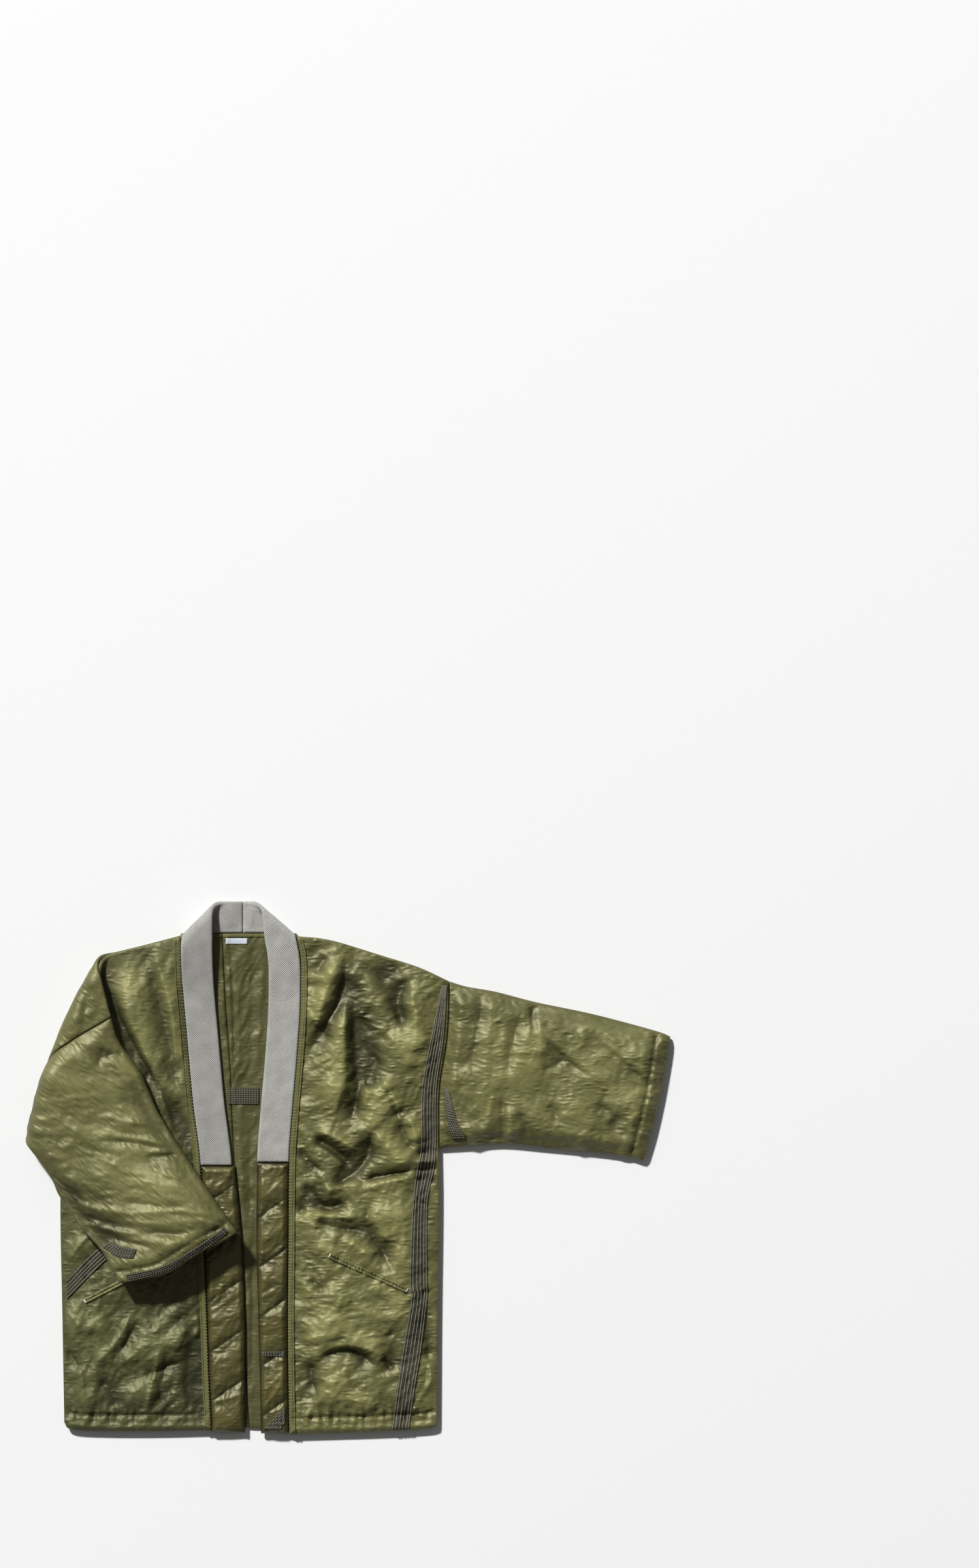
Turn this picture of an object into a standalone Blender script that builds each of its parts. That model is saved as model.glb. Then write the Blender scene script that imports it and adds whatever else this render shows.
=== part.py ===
"""A padded hanten jacket laid flat, with its right sleeve folded over the front.

Run with: blender --background --python part.py

The jacket is drafted as a tailor would, on the flat, in millimetres: x runs to the
wearer's left from the centre back, y runs up from the hem and z rises from the table.
Each cut piece is a slab of padded cloth over its own outline. Then the cloth that the
photograph shows folded is rolled over its fold line, layers and all.
"""
import math

import bpy
import numpy as np
from mathutils.geometry import delaunay_2d_cdt

# Millimetres to Blender's metres
MM = 0.001

# Cloth thicknesses, and the gap kept between sewn pieces
WALL = 6.0
COLLAR_THICK = 7.0
BAND_THICK = 7.0
TAPE_THICK = 1.2
SEAM_GAP = 0.3
ARMHOLE_GAP = 0.9

# Rounding of a cut edge, and of a sleeve's long edges
RIM = 2.6
RIM_UNDER = 0.9
BAND_RIM_UNDER = 0.6
SLEEVE_RIM = 5.0
SLEEVE_ROUND = 1.6
SLEEVE_END_RIM = 0.6

# How deep the hem stitches pull the padding down, and how wide their groove is
HEM_GROOVE = 1.8
CUFF_GROOVE = 1.5
GROOVE_WIDE = 5.0
GROOVE_ROWS = (-6.0, 0.0, 6.0)

# Heights of the stacked layers
BACK_TOP = WALL
FRONT_BOTTOM = BACK_TOP + SEAM_GAP
BAND_BOTTOM = BACK_TOP + SEAM_GAP

# Widths of the sewn trims
COLLAR_WIDE = 48.0
BINDING_WIDE = 8.0
HEM_DEEP = 25.0
CUFF_HEM_DEEP = 22.0
WELT_WIDE = 8.0

# Spacing of the points that the cloth is laid on
FRONT_CELL = 31.0
BACK_CELL = 55.0
SLEEVE_CELL = 33.0
BAND_CELL = 19.0
EDGE_CELL = 26.0
SEAM_CELL = 30.0
ARMHOLE_CELL = 10.0
SLEEVE_EDGE_CELL = 20.0
HEM_CELL = 34.0
SEAM_LOW = -12.0
SEAM_HIGH = 780.0

# How much the wadding puffs up, and the air under the front and inside each sleeve
FRONT_PUFF_LEFT = 7.0
FRONT_PUFF_RIGHT = 5.0
PUFF_REACH = 70.0
FOLDS_REACH = 30.0
FRONT_AIR_SHARE = 0.4
FRONT_AIR = 3.0
SLEEVE_AIR = 1.5
SLEEVE_AIR_REACH = 14.0
SLEEVE_START = 300.0
SLEEVE_LONG = 360.0
CUFF_AIR_RIGHT = 24.0
CUFF_AIR_REACH = 60.0

# The fold of the right shoulder and sleeve: the line that shows from above
FOLD_TOP = np.array((-236.0, 725.0))
FOLD_CORNER = np.array((-344.0, 452.0))
FOLD_HEIGHT = 19.0
FOLD_SLACK = 0.7
FOLD_BULGE = 13.0
FOLD_BULGE_REACH = 140.0
FOLD_FLATTENS = 60.0
FOLD_LOOSENS = 40.0
CUFF_LIFT = 21.0

# The fold of each collar half at the shoulder, where the band turns down the front
COLLAR_FOLD_RIGHT = (np.array((-107.0, 758.0)), np.array((-59.0, 807.0)))
COLLAR_FOLD_LEFT = (np.array((2.0, 811.0)), np.array((75.0, 750.0)))
COLLAR_HEIGHT_RIGHT = 14.0
COLLAR_HEIGHT_LEFT = 10.0
COLLAR_SETTLE = 50.0
COLLAR_STAND = 70.0
COLLAR_CENTRE = -14.0
COLLAR_END_RIGHT = 407.0
COLLAR_END_LEFT = 412.0
NECK_LINE = 762.0
NECK_EASE = 0.5
NECK_BINDING_LOW = 755.5
NECK_BINDING_SPANS = ((-90, -43), (-49, 40))

# Where the bands meet the fronts. Columns: height above the hem, distance from centre back.
SEAM_RIGHT = (
    (-20, -62), (4, -62), (90, -66), (208, -70), (310, -75), (412, -79), (493, -89),
    (532, -93), (600, -99), (680, -106), (730, -108), (760, -108), (850, -108),
)
SEAM_LEFT = (
    (-20, 57), (4, 57), (155, 55), (290, 56), (410, 57), (474, 61), (532, 66),
    (580, 70), (640, 74), (700, 75), (730, 73), (760, 68), (850, 60),
)

# Edges of the pattern. Columns: x and y of each bend of the edge.
SHOULDER_LEFT = ((70, 757), (104, 754), (136, 747), (194, 729), (254, 710), (302, 688))
ARMHOLE_LEFT = ((286, 433), (287, 524), (299, 606), (302, 688))
SIDE_LEFT = ((284, 14), (285, 180), (287, 346), (286, 433))
HEM_LEFT = ((57, -5), (130, -3), (214, 0), (276, 5), (284, 14))
SHOULDER_RIGHT = (
    (-110, 758), (-167, 743), (-200, 735), (-236, 725), (-282, 700), (-321, 677),
)
ARMHOLE_RIGHT = ((-288, 433), (-292, 480), (-301, 545), (-306, 605), (-321, 677))
SIDE_RIGHT = ((-287, 14), (-290, 180), (-293, 350), (-288, 433))
HEM_RIGHT = ((-62, 2), (-140, 0), (-220, 0), (-276, 3), (-287, 14))
CENTRE_BACK = ((-4, 5), (-10, 90), (-21, 290), (-31, 490), (-33, 550), (-40, 650), (-46, 762))
BACK_HEM_RISE = 5.0

SLEEVE_TOP_LEFT = ((302, 688), (329, 680), (374, 672), (436, 656), (522, 638), (616, 613), (640, 604))
SLEEVE_LOW_LEFT = ((286, 433), (334, 436), (383, 439), (441, 434), (522, 426), (581, 418), (599, 413))
CUFF_LEFT = ((599, 413), (613, 461), (624, 509), (634, 563), (640, 604))
SLEEVE_TOP_RIGHT = (
    (-321, 677), (-355, 657), (-405, 645), (-466, 619), (-564, 594), (-652, 575), (-681, 569),
)
SLEEVE_LOW_RIGHT = (
    (-288, 433), (-344, 444), (-414, 433), (-446, 421), (-505, 409), (-551, 405), (-603, 389),
)
CUFF_RIGHT = ((-603, 389), (-624, 419), (-646, 451), (-661, 508), (-674, 546), (-681, 569))

PATTERN_LEFT = {
    "seam": SEAM_LEFT, "shoulder": SHOULDER_LEFT, "armhole": ARMHOLE_LEFT, "side": SIDE_LEFT,
    "hem": HEM_LEFT, "sleeve_top": SLEEVE_TOP_LEFT, "sleeve_low": SLEEVE_LOW_LEFT,
    "cuff": CUFF_LEFT,
}
PATTERN_RIGHT = {
    "seam": SEAM_RIGHT, "shoulder": SHOULDER_RIGHT, "armhole": ARMHOLE_RIGHT,
    "side": SIDE_RIGHT, "hem": HEM_RIGHT, "sleeve_top": SLEEVE_TOP_RIGHT,
    "sleeve_low": SLEEVE_LOW_RIGHT, "cuff": CUFF_RIGHT,
}

# Inner edges of the quilted bands. Columns: height above the hem, distance from centre back.
BAND_INNER_RIGHT = ((-2, -10), (150, -10), (190, -11), (290, -15), (407, -26))
BAND_INNER_LEFT = ((-3, 14), (170, 10), (290, 7), (412, 8))

# Folds of the cloth. Columns: from x and y, to x and y, half width, height (a trough is negative).
FOLDS_FRONT_LEFT = (
    (134, 735, 84, 590, 18, -7.0),
    (104, 700, 110, 600, 26, 3.5),
    (144, 660, 159, 470, 18, -6.0),
    (204, 535, 234, 430, 34, 7.0),
    (124, 375, 249, 402, 14, -8.0),
    (89, 450, 159, 405, 20, -5.5),
    (69, 385, 144, 340, 18, -5.5),
    (104, 320, 189, 310, 18, -4.0),
    (184, 350, 214, 250, 26, 5.0),
    (84, 115, 150, 82, 18, -4.0),
    (150, 82, 214, 100, 18, -4.0),
)
FOLDS_FRONT_RIGHT = (
    (-180, 700, -150, 560, 20, -4.0),
    (-150, 690, -130, 560, 22, 3.0),
    (-230, 180, -120, 130, 22, -3.0),
    (-200, 80, -110, 60, 26, 2.5),
)
FOLDS_SLEEVE_LEFT = (
    (318, 660, 330, 560, 16, 3.5),
    (345, 640, 352, 520, 16, -2.0),
    (330, 560, 345, 460, 18, 4.0),
    (372, 650, 400, 520, 20, 4.5),
    (410, 600, 560, 560, 22, 3.5),
    (400, 470, 560, 450, 24, 4.0),
    (470, 520, 590, 500, 18, -1.5),
)
FOLDS_SLEEVE_RIGHT = (
    (-390, 600, -560, 560, 22, 5.0),
    (-400, 530, -580, 490, 20, 4.0),
    (-400, 470, -560, 430, 18, 5.0),
    (-350, 600, -340, 500, 18, 4.0),
    (-480, 580, -600, 470, 18, 3.5),
)
FOLDS_BACK = (
    (-31, 730, -25, 545, 5, 2.0),
    (-24, 480, -10, 330, 6, 1.5),
)

# Pocket slits. Columns: from x and y, to x and y.
POCKET_LEFT = (119, 270, 237, 217)
POCKET_RIGHT = (-119, 270, -255, 200)

# Seam tapes. Columns: x and y of one long edge, then of the other, row by row.
TAPE_FRONT_LEFT = (
    (291, 682, 298, 682), (275, 606, 294, 606), (260, 524, 283, 524), (259, 440, 282, 440),
    (252, 400, 279, 400), (246, 346, 269, 346), (241, 230, 269, 230), (244, 205, 269, 205),
    (231, 127, 260, 127), (222, 66, 250, 66), (214, 3, 241, 5),
)
TAPE_SIDE_RIGHT = ((-196, 308, -180, 292), (-240, 276, -226, 258), (-283, 232, -282, 202))
TAPE_SLEEVE_LEFT = ((294, 528, 301, 522), (298, 480, 314, 475), (308, 446, 329, 446))
TAPE_CUFF_RIGHT = (
    (-600, 406, -611, 400), (-630, 450, -641, 448), (-644, 488, -654, 486),
    (-654, 527, -664, 525), (-660, 560, -670, 560),
)
TAPE_SLEEVE_RIGHT = ((-546, 411, -548, 425), (-572, 417, -568, 433), (-592, 432, -586, 446))
TAPE_BAND_UPPER = ((15, 115, 15, 123), (51, 115, 51, 123))
TAPE_BAND_LOWER = ((18, 4, 44, 3), (52, 40, 52, 16))
TAPE_BACK = ((-36, 500, -36, 526), (11, 500, 11, 526))
LABEL_X = (-40.0, -7.0)
LABEL_Y = (745.0, 754.0)

# Diagonal quilting of the front bands
QUILT_STEP = 77.0
QUILT_SLOPE = 0.7
QUILT_PUFF = 3.5
QUILT_START = 12.0

# Name, base colour, roughness of each cloth
CLOTHS = {
    "nylon": ((0.16, 0.15, 0.055, 1.0), 0.42),
    "lining": ((0.11, 0.11, 0.045, 1.0), 0.5),
    "quilted_nylon": ((0.11, 0.095, 0.03, 1.0), 0.5),
    "wool": ((0.40, 0.39, 0.36, 1.0), 0.95),
    "binding": ((0.17, 0.17, 0.055, 1.0), 0.7),
    "tape": ((0.055, 0.05, 0.03, 1.0), 0.8),
    "label": ((0.75, 0.78, 0.82, 1.0), 0.8),
}


def clear_scene():
    """Remove what the new scene holds."""
    for item in list(bpy.data.objects):
        bpy.data.objects.remove(item, do_unlink=True)


def make_cloth(name):
    """A plain cloth material in its own colour."""
    colour, roughness = CLOTHS[name]
    material = bpy.data.materials.new(name)
    material.use_nodes = True
    shader = material.node_tree.nodes["Principled BSDF"]
    shader.inputs["Base Color"].default_value = colour
    shader.inputs["Roughness"].default_value = roughness
    shader.inputs["Metallic"].default_value = 0.0
    material.diffuse_color = colour
    return material


# Lines and outlines

def smooth_line(corners, step=EDGE_CELL):
    """A smooth line through the corners, with a point about every step."""
    corners = np.array(corners, float)
    first = 2 * corners[0] - corners[1]
    last = 2 * corners[-1] - corners[-2]
    knots = np.vstack([first, corners, last])
    line = [corners[0]]
    for before, start, end, after in zip(knots, knots[1:], knots[2:], knots[3:]):
        pieces = max(1, round(np.linalg.norm(end - start) / step))
        for piece in range(1, pieces + 1):
            t = piece / pieces
            bend = 2 * before - 5 * start + 4 * end - after
            twist = 3 * start - before - 3 * end + after
            line.append(0.5 * (2 * start + (end - before) * t + bend * t ** 2 + twist * t ** 3))
    return np.array(line)


def along(table, y):
    """The second column of a table at a given height, smoothed between its rows."""
    line = smooth_line(table, 4.0)
    return np.interp(y, line[:, 0], line[:, 1])


def join_edges(*edges):
    """One closed outline from edges that follow each other, end to end."""
    points = []
    for edge in edges:
        for point in edge:
            if not points or np.linalg.norm(point - points[-1]) > 0.5:
                points.append(point)
    if np.linalg.norm(points[0] - points[-1]) <= 0.5:
        points.pop()
    outline = np.array(points)
    following = np.roll(outline, -1, axis=0)
    turning = np.sum(outline[:, 0] * following[:, 1] - following[:, 0] * outline[:, 1])
    return outline if turning > 0 else outline[::-1]


def inside(points, outline):
    """Which points lie inside a closed outline."""
    hits = np.zeros(len(points), bool)
    x, y = points[:, 0], points[:, 1]
    for start, end in zip(outline, np.roll(outline, -1, axis=0)):
        crosses = (start[1] > y) != (end[1] > y)
        run = (end[0] - start[0]) * (y - start[1]) / (end[1] - start[1] + 1e-12) + start[0]
        hits ^= crosses & (x < run)
    return hits


def distance_to_line(points, line, closed=False):
    """How far each point lies from a line of points."""
    ends = np.roll(line, -1, axis=0) if closed else line[1:]
    best = np.full(len(points), np.inf)
    for start, end in zip(line, ends):
        run = end - start
        share = np.clip((points - start) @ run / max(run @ run, 1e-9), 0.0, 1.0)
        nearest = start + share[:, None] * run
        best = np.minimum(best, np.linalg.norm(points - nearest, axis=1))
    return best


def clear_of_edge(line, outline, margin=4.0):
    """The points of a line that lie inside an outline, clear of its edge."""
    kept = inside(line, outline) & (distance_to_line(line, outline, closed=True) > margin)
    return line[kept]


def inset(outline, depth):
    """The outline moved inwards by a depth."""
    before = np.roll(outline, 1, axis=0)
    after = np.roll(outline, -1, axis=0)
    run_in = outline - before
    run_out = after - outline
    run_in /= np.linalg.norm(run_in, axis=1)[:, None]
    run_out /= np.linalg.norm(run_out, axis=1)[:, None]
    inward = np.stack([-(run_in + run_out)[:, 1], (run_in + run_out)[:, 0]], axis=1)
    inward /= np.linalg.norm(inward, axis=1)[:, None]
    open_angle = np.clip(np.sum(run_in * run_out, axis=1), -0.6, 1.0)
    return outline + inward * (depth / np.sqrt((1 + open_angle) / 2))[:, None]


def strip_outline(rows, step=EDGE_CELL):
    """The outline of a tape from its two long edges, row by row."""
    rows = np.array(rows, float)
    one_edge = smooth_line(rows[:, :2], step)
    other_edge = smooth_line(rows[:, 2:], step)
    return join_edges(one_edge, other_edge[::-1])


def slit_outline(slit, wide=WELT_WIDE):
    """The outline of a pocket welt along its slit."""
    start = np.array(slit[:2], float)
    end = np.array(slit[2:], float)
    run = (end - start) / np.linalg.norm(end - start)
    side = np.array((-run[1], run[0])) * wide / 2
    middle = (start + end) / 2
    return join_edges(
        np.array([start - side, middle - side, end - side]),
        np.array([end + side, middle + side, start + side]),
    )


# Points and triangles over an outline

def lattice(outline, cell):
    """Staggered points inside an outline, clear of its edge."""
    low = outline.min(axis=0)
    high = outline.max(axis=0)
    rows = []
    row_step = cell * math.sqrt(3) / 2
    for row in range(int((high[1] - low[1]) / row_step) + 2):
        shift = cell / 2 * (row % 2) + cell * 0.13
        x = np.arange(low[0] + shift, high[0] + cell, cell)
        rows.append(np.stack([x, np.full(len(x), low[1] + row * row_step)], axis=1))
    points = np.vstack(rows)
    points = points[inside(points, outline)]
    return points[distance_to_line(points, outline, closed=True) > cell * 0.42]


def fold_rows(fold, outline, row_step, cell):
    """Rows of points along a fold, close enough together to roll it."""
    rows = []
    for row, out in enumerate(np.arange(0.0, fold["arc"] + row_step / 2, row_step)):
        run = np.arange(-60.0, fold["length"] + 80.0, cell) + cell / 2 * (row % 2)
        rows.append(fold["start"] + out * fold["out"] + run[:, None] * fold["along"])
    points = np.vstack(rows)
    points = points[inside(points, outline)]
    return points[distance_to_line(points, outline, closed=True) > 4.5]


def lay_points(outline, cell, guides=(), rim=RIM, fold=None, fold_cell=16.0):
    """Points and triangles over an outline: its edge, guide lines and a lattice inside."""
    guides = list(guides)
    if rim > 0.0:
        edge_loop = inset(outline, rim)
        guides.append(np.vstack([edge_loop, edge_loop[:1]]))
    fixed = [outline]
    links = []
    start = len(outline)
    for guide in guides:
        fixed.append(guide)
        links += [(start + k, start + k + 1) for k in range(len(guide) - 1)]
        start += len(guide)
    free = lattice(outline, cell)
    if fold is not None:
        out = (free - fold["start"]) @ fold["out"]
        free = free[(out < -0.5 * cell) | (out > fold["arc"] + 0.5 * cell)]
        free = np.vstack([free, fold_rows(fold, outline, fold["row_step"], fold_cell)])
    for guide in guides:
        free = free[distance_to_line(free, guide) > min(0.3 * cell, 6.0)]
    points = np.vstack(fixed + [free])
    loop = list(range(len(outline)))
    found = delaunay_2d_cdt(points.tolist(), links, [loop], 1, 1e-4, False)
    flat = np.array([tuple(point) for point in found[0]])
    triangles = np.array([list(face) for face in found[2]])
    centres = flat[triangles].mean(axis=1)
    return flat, triangles[inside(centres, outline)]


def rim_edges(triangles):
    """The edges that only one triangle uses, in its own order."""
    edges = set()
    for a, b, c in triangles.tolist():
        edges.update(((a, b), (b, c), (c, a)))
    return {edge for edge in edges if (edge[1], edge[0]) not in edges}


def add_object(name, points, faces, cloth):
    """An object from its points in millimetres and its faces."""
    used = sorted({corner for face in faces for corner in face})
    place = {corner: index for index, corner in enumerate(used)}
    mesh = bpy.data.meshes.new(name)
    faces = [tuple(place[corner] for corner in face) for face in faces]
    mesh.from_pydata((points[used] * MM).tolist(), [], faces)
    mesh.validate()
    mesh.materials.append(cloth)
    made = bpy.data.objects.new(name, mesh)
    bpy.context.scene.collection.objects.link(made)
    return made


def raised(flat, heights):
    """Flat points with their heights."""
    return np.column_stack([flat, heights])


def make_slab(name, layout, top, bottom, lay, cloth, cavity=None, inside_heights=()):
    """A closed slab of cloth between two heights, hollow over its cavity if it has one."""
    flat, triangles = layout
    count = len(flat)
    levels = [top, bottom, *inside_heights]
    points = np.vstack([lay(raised(flat, level)) for level in levels])
    upper, lower, ceiling, floor = 0, count, 2 * count, 3 * count
    faces = [(a, b, c) for a, b, c in triangles.tolist()]
    faces += [(c + lower, b + lower, a + lower) for a, b, c in triangles.tolist()]
    outer = rim_edges(triangles)
    inner = set()
    if cavity is not None:
        centres = flat[triangles].mean(axis=1)
        hollow = triangles[inside(centres, cavity)]
        faces += [(c + ceiling, b + ceiling, a + ceiling) for a, b, c in hollow.tolist()]
        faces += [(a + floor, b + floor, c + floor) for a, b, c in hollow.tolist()]
        inner = rim_edges(hollow)
    mouths = {corner for edge in inner & outer for corner in edge}
    for a, b in outer - inner:
        far_side = (b + floor, b + ceiling) if b in mouths else ()
        near_side = (a + ceiling, a + floor) if a in mouths else ()
        faces.append((a + lower, b + lower) + far_side + (b + upper, a + upper) + near_side)
    for a, b in inner & outer:
        faces.append((a + ceiling, b + ceiling, b + upper, a + upper))
        faces.append((a + lower, b + lower, b + floor, a + floor))
    for a, b in inner - outer:
        faces.append((b + floor, a + floor, a + ceiling, b + ceiling))
    return add_object(name, points, faces, cloth)


def make_patch(name, layout, surface, outline, lay, cloth, side=1, thick=TAPE_THICK):
    """A flat piece sewn on a panel, made from the panel's points and moved out."""
    flat, triangles = layout
    centres = flat[triangles].mean(axis=1)
    own = triangles[inside(centres, outline)]
    near = surface + side * SEAM_GAP
    far = near + side * thick
    return make_slab(name, (flat, own), np.maximum(near, far), np.minimum(near, far), lay, cloth)


# Heights of the cloth

def smoothstep(value):
    """A soft step from 0 to 1."""
    value = np.clip(value, 0.0, 1.0)
    return value * value * (3 - 2 * value)


def rounded(depth, rim):
    """How far a rounded edge has dropped at a depth in from the edge."""
    short = np.clip(rim - depth, 0.0, rim)
    return rim - np.sqrt(rim ** 2 - short ** 2)


def folds(flat, table):
    """The heights that a table of ridges and troughs adds."""
    total = np.zeros(len(flat))
    for x0, y0, x1, y1, wide, high in table:
        line = np.array(((x0, y0), (x1, y1)), float)
        total += high * np.exp(-(distance_to_line(flat, line) / wide) ** 2)
    return total


def groove(flat, line, deep):
    """A row of stitches that pulls the padding down."""
    return deep * np.exp(-(distance_to_line(flat, line) / GROOVE_WIDE) ** 2)


# Folding the flat cloth over

def make_fold(start, end, outward, height, middle, row_step):
    """A fold line, moved in so that the rolled cloth ends at the line that shows."""
    run = (end - start) / np.linalg.norm(end - start)
    out = np.array((run[1], -run[0]))
    if out @ outward < 0:
        out = -out
    radius = height - middle
    return {
        "start": start - height * out, "along": run, "out": out, "height": height,
        "radius": radius, "arc": math.pi * radius, "row_step": row_step,
        "length": np.linalg.norm(end - start),
    }


def roll_over(points, fold):
    """Roll points over a fold, and return them with the turn and how far past it they lie."""
    flat = points[:, :2]
    out = (flat - fold["start"]) @ fold["out"]
    run = (flat - fold["start"]) @ fold["along"]
    turn = np.clip(out / fold["radius"], 0.0, math.pi)
    past = np.maximum(out - fold["arc"], 0.0)
    reach = fold["height"] - points[:, 2]
    turned = out > 0
    out = np.where(turned, reach * np.sin(turn) - past, out)
    z = np.where(turned, fold["height"] - reach * np.cos(turn), points[:, 2])
    flat = fold["start"] + out[:, None] * fold["out"] + run[:, None] * fold["along"]
    return flat, z, turn / math.pi, past, out, run


SHOULDER_FOLD = make_fold(
    FOLD_TOP, FOLD_CORNER, np.array((-1.0, 0.3)), FOLD_HEIGHT, WALL + FOLD_SLACK / 2, 8.0)


def lay_flat(points):
    """Cloth that stays as it is drafted."""
    return points


def lay_right(points):
    """The wearer's right half: what lies past the fold line comes over the front."""
    flat, z, turned, _, out, run = roll_over(points, SHOULDER_FOLD)
    down_sleeve = (-SLEEVE_START - points[:, 0]) / SLEEVE_LONG
    z = z + turned * CUFF_LIFT * smoothstep((down_sleeve - 0.3) / 0.65)
    share = np.clip(run / SHOULDER_FOLD["length"], 0.0, 1.0)
    near_fold = smoothstep(1.0 + (out - FOLD_HEIGHT) / FOLD_BULGE_REACH)
    bulge = FOLD_BULGE * np.sin(math.pi * share) * near_fold
    flat = flat + bulge[:, None] * SHOULDER_FOLD["out"]
    return np.column_stack([flat, z])


def collar_half(name, lines, height, seam, end_y, side, cloth):
    """Half of the collar: a straight band turned down the front at the shoulder."""
    fold = make_fold(lines[0], lines[1], np.array((side, 1.0)), height, COLLAR_THICK / 2, 4.0)
    low_y = NECK_LINE + SEAM_GAP
    high_y = low_y + COLLAR_WIDE
    start_x = COLLAR_CENTRE + side * SEAM_GAP / 2
    mirror = fold["start"] + fold["out"] * fold["arc"] / 2
    out_x, out_y = fold["out"]

    def drafted_x(y, shown_y):
        """Where a point at a drafted height y must be to show at shown_y once turned."""
        return mirror[0] + ((y - shown_y) / (2 * out_y) - (y - mirror[1]) * out_y) / out_x

    corners = (
        (start_x, low_y), (drafted_x(low_y, end_y), low_y),
        (drafted_x(high_y, end_y), high_y), (start_x, high_y),
    )
    edges = [smooth_line(pair) for pair in zip(corners, corners[1:] + corners[:1])]
    outline = join_edges(*edges)
    flat, triangles = lay_points(outline, BAND_CELL, fold=fold, fold_cell=12.0)
    depth = distance_to_line(flat, outline, closed=True)
    drop = rounded(depth, RIM)
    top = COLLAR_THICK - drop
    bottom = drop

    def lay(points):
        """Turn the band down the front and settle it on the back, along its seam."""
        shown, z, turned, past, _, _ = roll_over(points, fold)
        inner = (points[:, 1] - low_y) / COLLAR_WIDE
        shown_y = shown[:, 1]
        edge_x = drafted_x(low_y, shown_y) - (low_y - shown_y) * out_x / out_y
        slide = along(seam, shown_y) - side * SEAM_GAP - edge_x
        rest = 2 * height - COLLAR_THICK - BAND_BOTTOM - 2 * SEAM_GAP
        settle = rest * smoothstep(past / (COLLAR_SETTLE + COLLAR_STAND * inner))
        return np.column_stack([shown[:, 0] + turned * slide, shown_y, z - settle])

    return make_slab(name, (flat, triangles), top, bottom, lay, cloth)


# Pieces of the jacket

def front_outline(pattern, side):
    """A front's outline, from its seam with the band round to the hem."""
    hem_line = smooth_line(pattern["hem"])
    shoulder_line = smooth_line(pattern["shoulder"])
    low_y, high_y = hem_line[0][1], shoulder_line[0][1]
    heights = np.linspace(low_y, high_y, round((high_y - low_y) / SEAM_CELL))
    inner = np.column_stack([along(pattern["seam"], heights) + side * SEAM_GAP, heights])
    inner[-1] = shoulder_line[0]
    hem_line[0] = inner[0]
    return join_edges(
        inner, shoulder_line, smooth_line(pattern["armhole"], ARMHOLE_CELL)[::-1],
        smooth_line(pattern["side"])[::-1], hem_line[::-1],
    )


def fold_guides(outline, table, cell, margin):
    """The lines of the folds that lie clear of the outline's edge."""
    return [clear_of_edge(smooth_line((row[:2], row[2:4]), cell), outline, margin) for row in table]


def closed_loops(outlines):
    """Outlines as lines that end where they start."""
    return [np.vstack([outline, outline[:1]]) for outline in outlines]


def front_guides(side, outline, pattern, tapes, table):
    """Lines that a front's points follow: binding, hem stitching, folds, sewn-on pieces."""
    heights = np.arange(SEAM_LOW, SEAM_HIGH, SEAM_CELL)
    edge = along(pattern["seam"], heights) + side * (SEAM_GAP + BINDING_WIDE)
    guides = [np.column_stack([edge, heights])]
    hem_line = smooth_line(pattern["hem"], HEM_CELL)
    hem_start = side * along(pattern["seam"], HEM_DEEP) + SEAM_GAP + BINDING_WIDE + GROOVE_WIDE
    for rise in GROOVE_ROWS:
        line = clear_of_edge(hem_line + np.array((0.0, HEM_DEEP + rise)), outline)
        guides.append(line[side * line[:, 0] > hem_start])
    return guides + fold_guides(outline, table, 30.0, 12.0) + closed_loops(tapes)


def binding_outline(seam, side):
    """The outline of the edging sewn along a front's inner edge."""
    heights = np.arange(SEAM_LOW, SEAM_HIGH, SEAM_CELL)
    edge = along(seam, heights)
    near = np.column_stack([edge - side * 2.0, heights])
    far = np.column_stack([edge + side * (SEAM_GAP + BINDING_WIDE), heights])
    return join_edges(near, far[::-1])


def make_front(side_name, side, pattern, table, puff, tapes, lay, fold, cloths):
    """A front with its binding and the tapes and welt sewn on it."""
    outline = front_outline(pattern, side)
    guides = front_guides(side, outline, pattern, list(tapes.values()), table)
    layout = lay_points(outline, FRONT_CELL, guides, fold=fold)
    flat = layout[0]
    depth = distance_to_line(flat, outline, closed=True)
    creases = folds(flat, table) * smoothstep(depth / FOLDS_REACH)
    lift = puff * smoothstep(depth / PUFF_REACH) + creases
    lift = np.maximum(lift, 0.0)
    rest = np.full(len(flat), FRONT_BOTTOM)
    if fold is not None:
        out = (flat - fold["start"]) @ fold["out"]
        lift = lift * smoothstep(-out / FOLD_FLATTENS)
        rest = rest + FOLD_SLACK * smoothstep(1.0 + out / FOLD_LOOSENS)
    drop = rounded(depth, RIM)
    hem_line = smooth_line(pattern["hem"], HEM_CELL) + np.array((0.0, HEM_DEEP))
    pulled = groove(flat, hem_line, HEM_GROOVE) * smoothstep(depth / (2 * WALL))
    bottom = rest + np.minimum(FRONT_AIR_SHARE * lift, FRONT_AIR) + drop * RIM_UNDER
    top = rest + WALL + lift - drop - pulled
    make_slab("front_" + side_name, layout, top, bottom, lay, cloths["nylon"])
    make_patch(
        "front_binding_" + side_name, layout, top, binding_outline(pattern["seam"], side), lay,
        cloths["binding"])
    for name, tape in tapes.items():
        cloth = cloths["nylon"] if name.startswith("pocket") else cloths["tape"]
        make_patch(name, layout, top, tape, lay, cloth)


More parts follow.
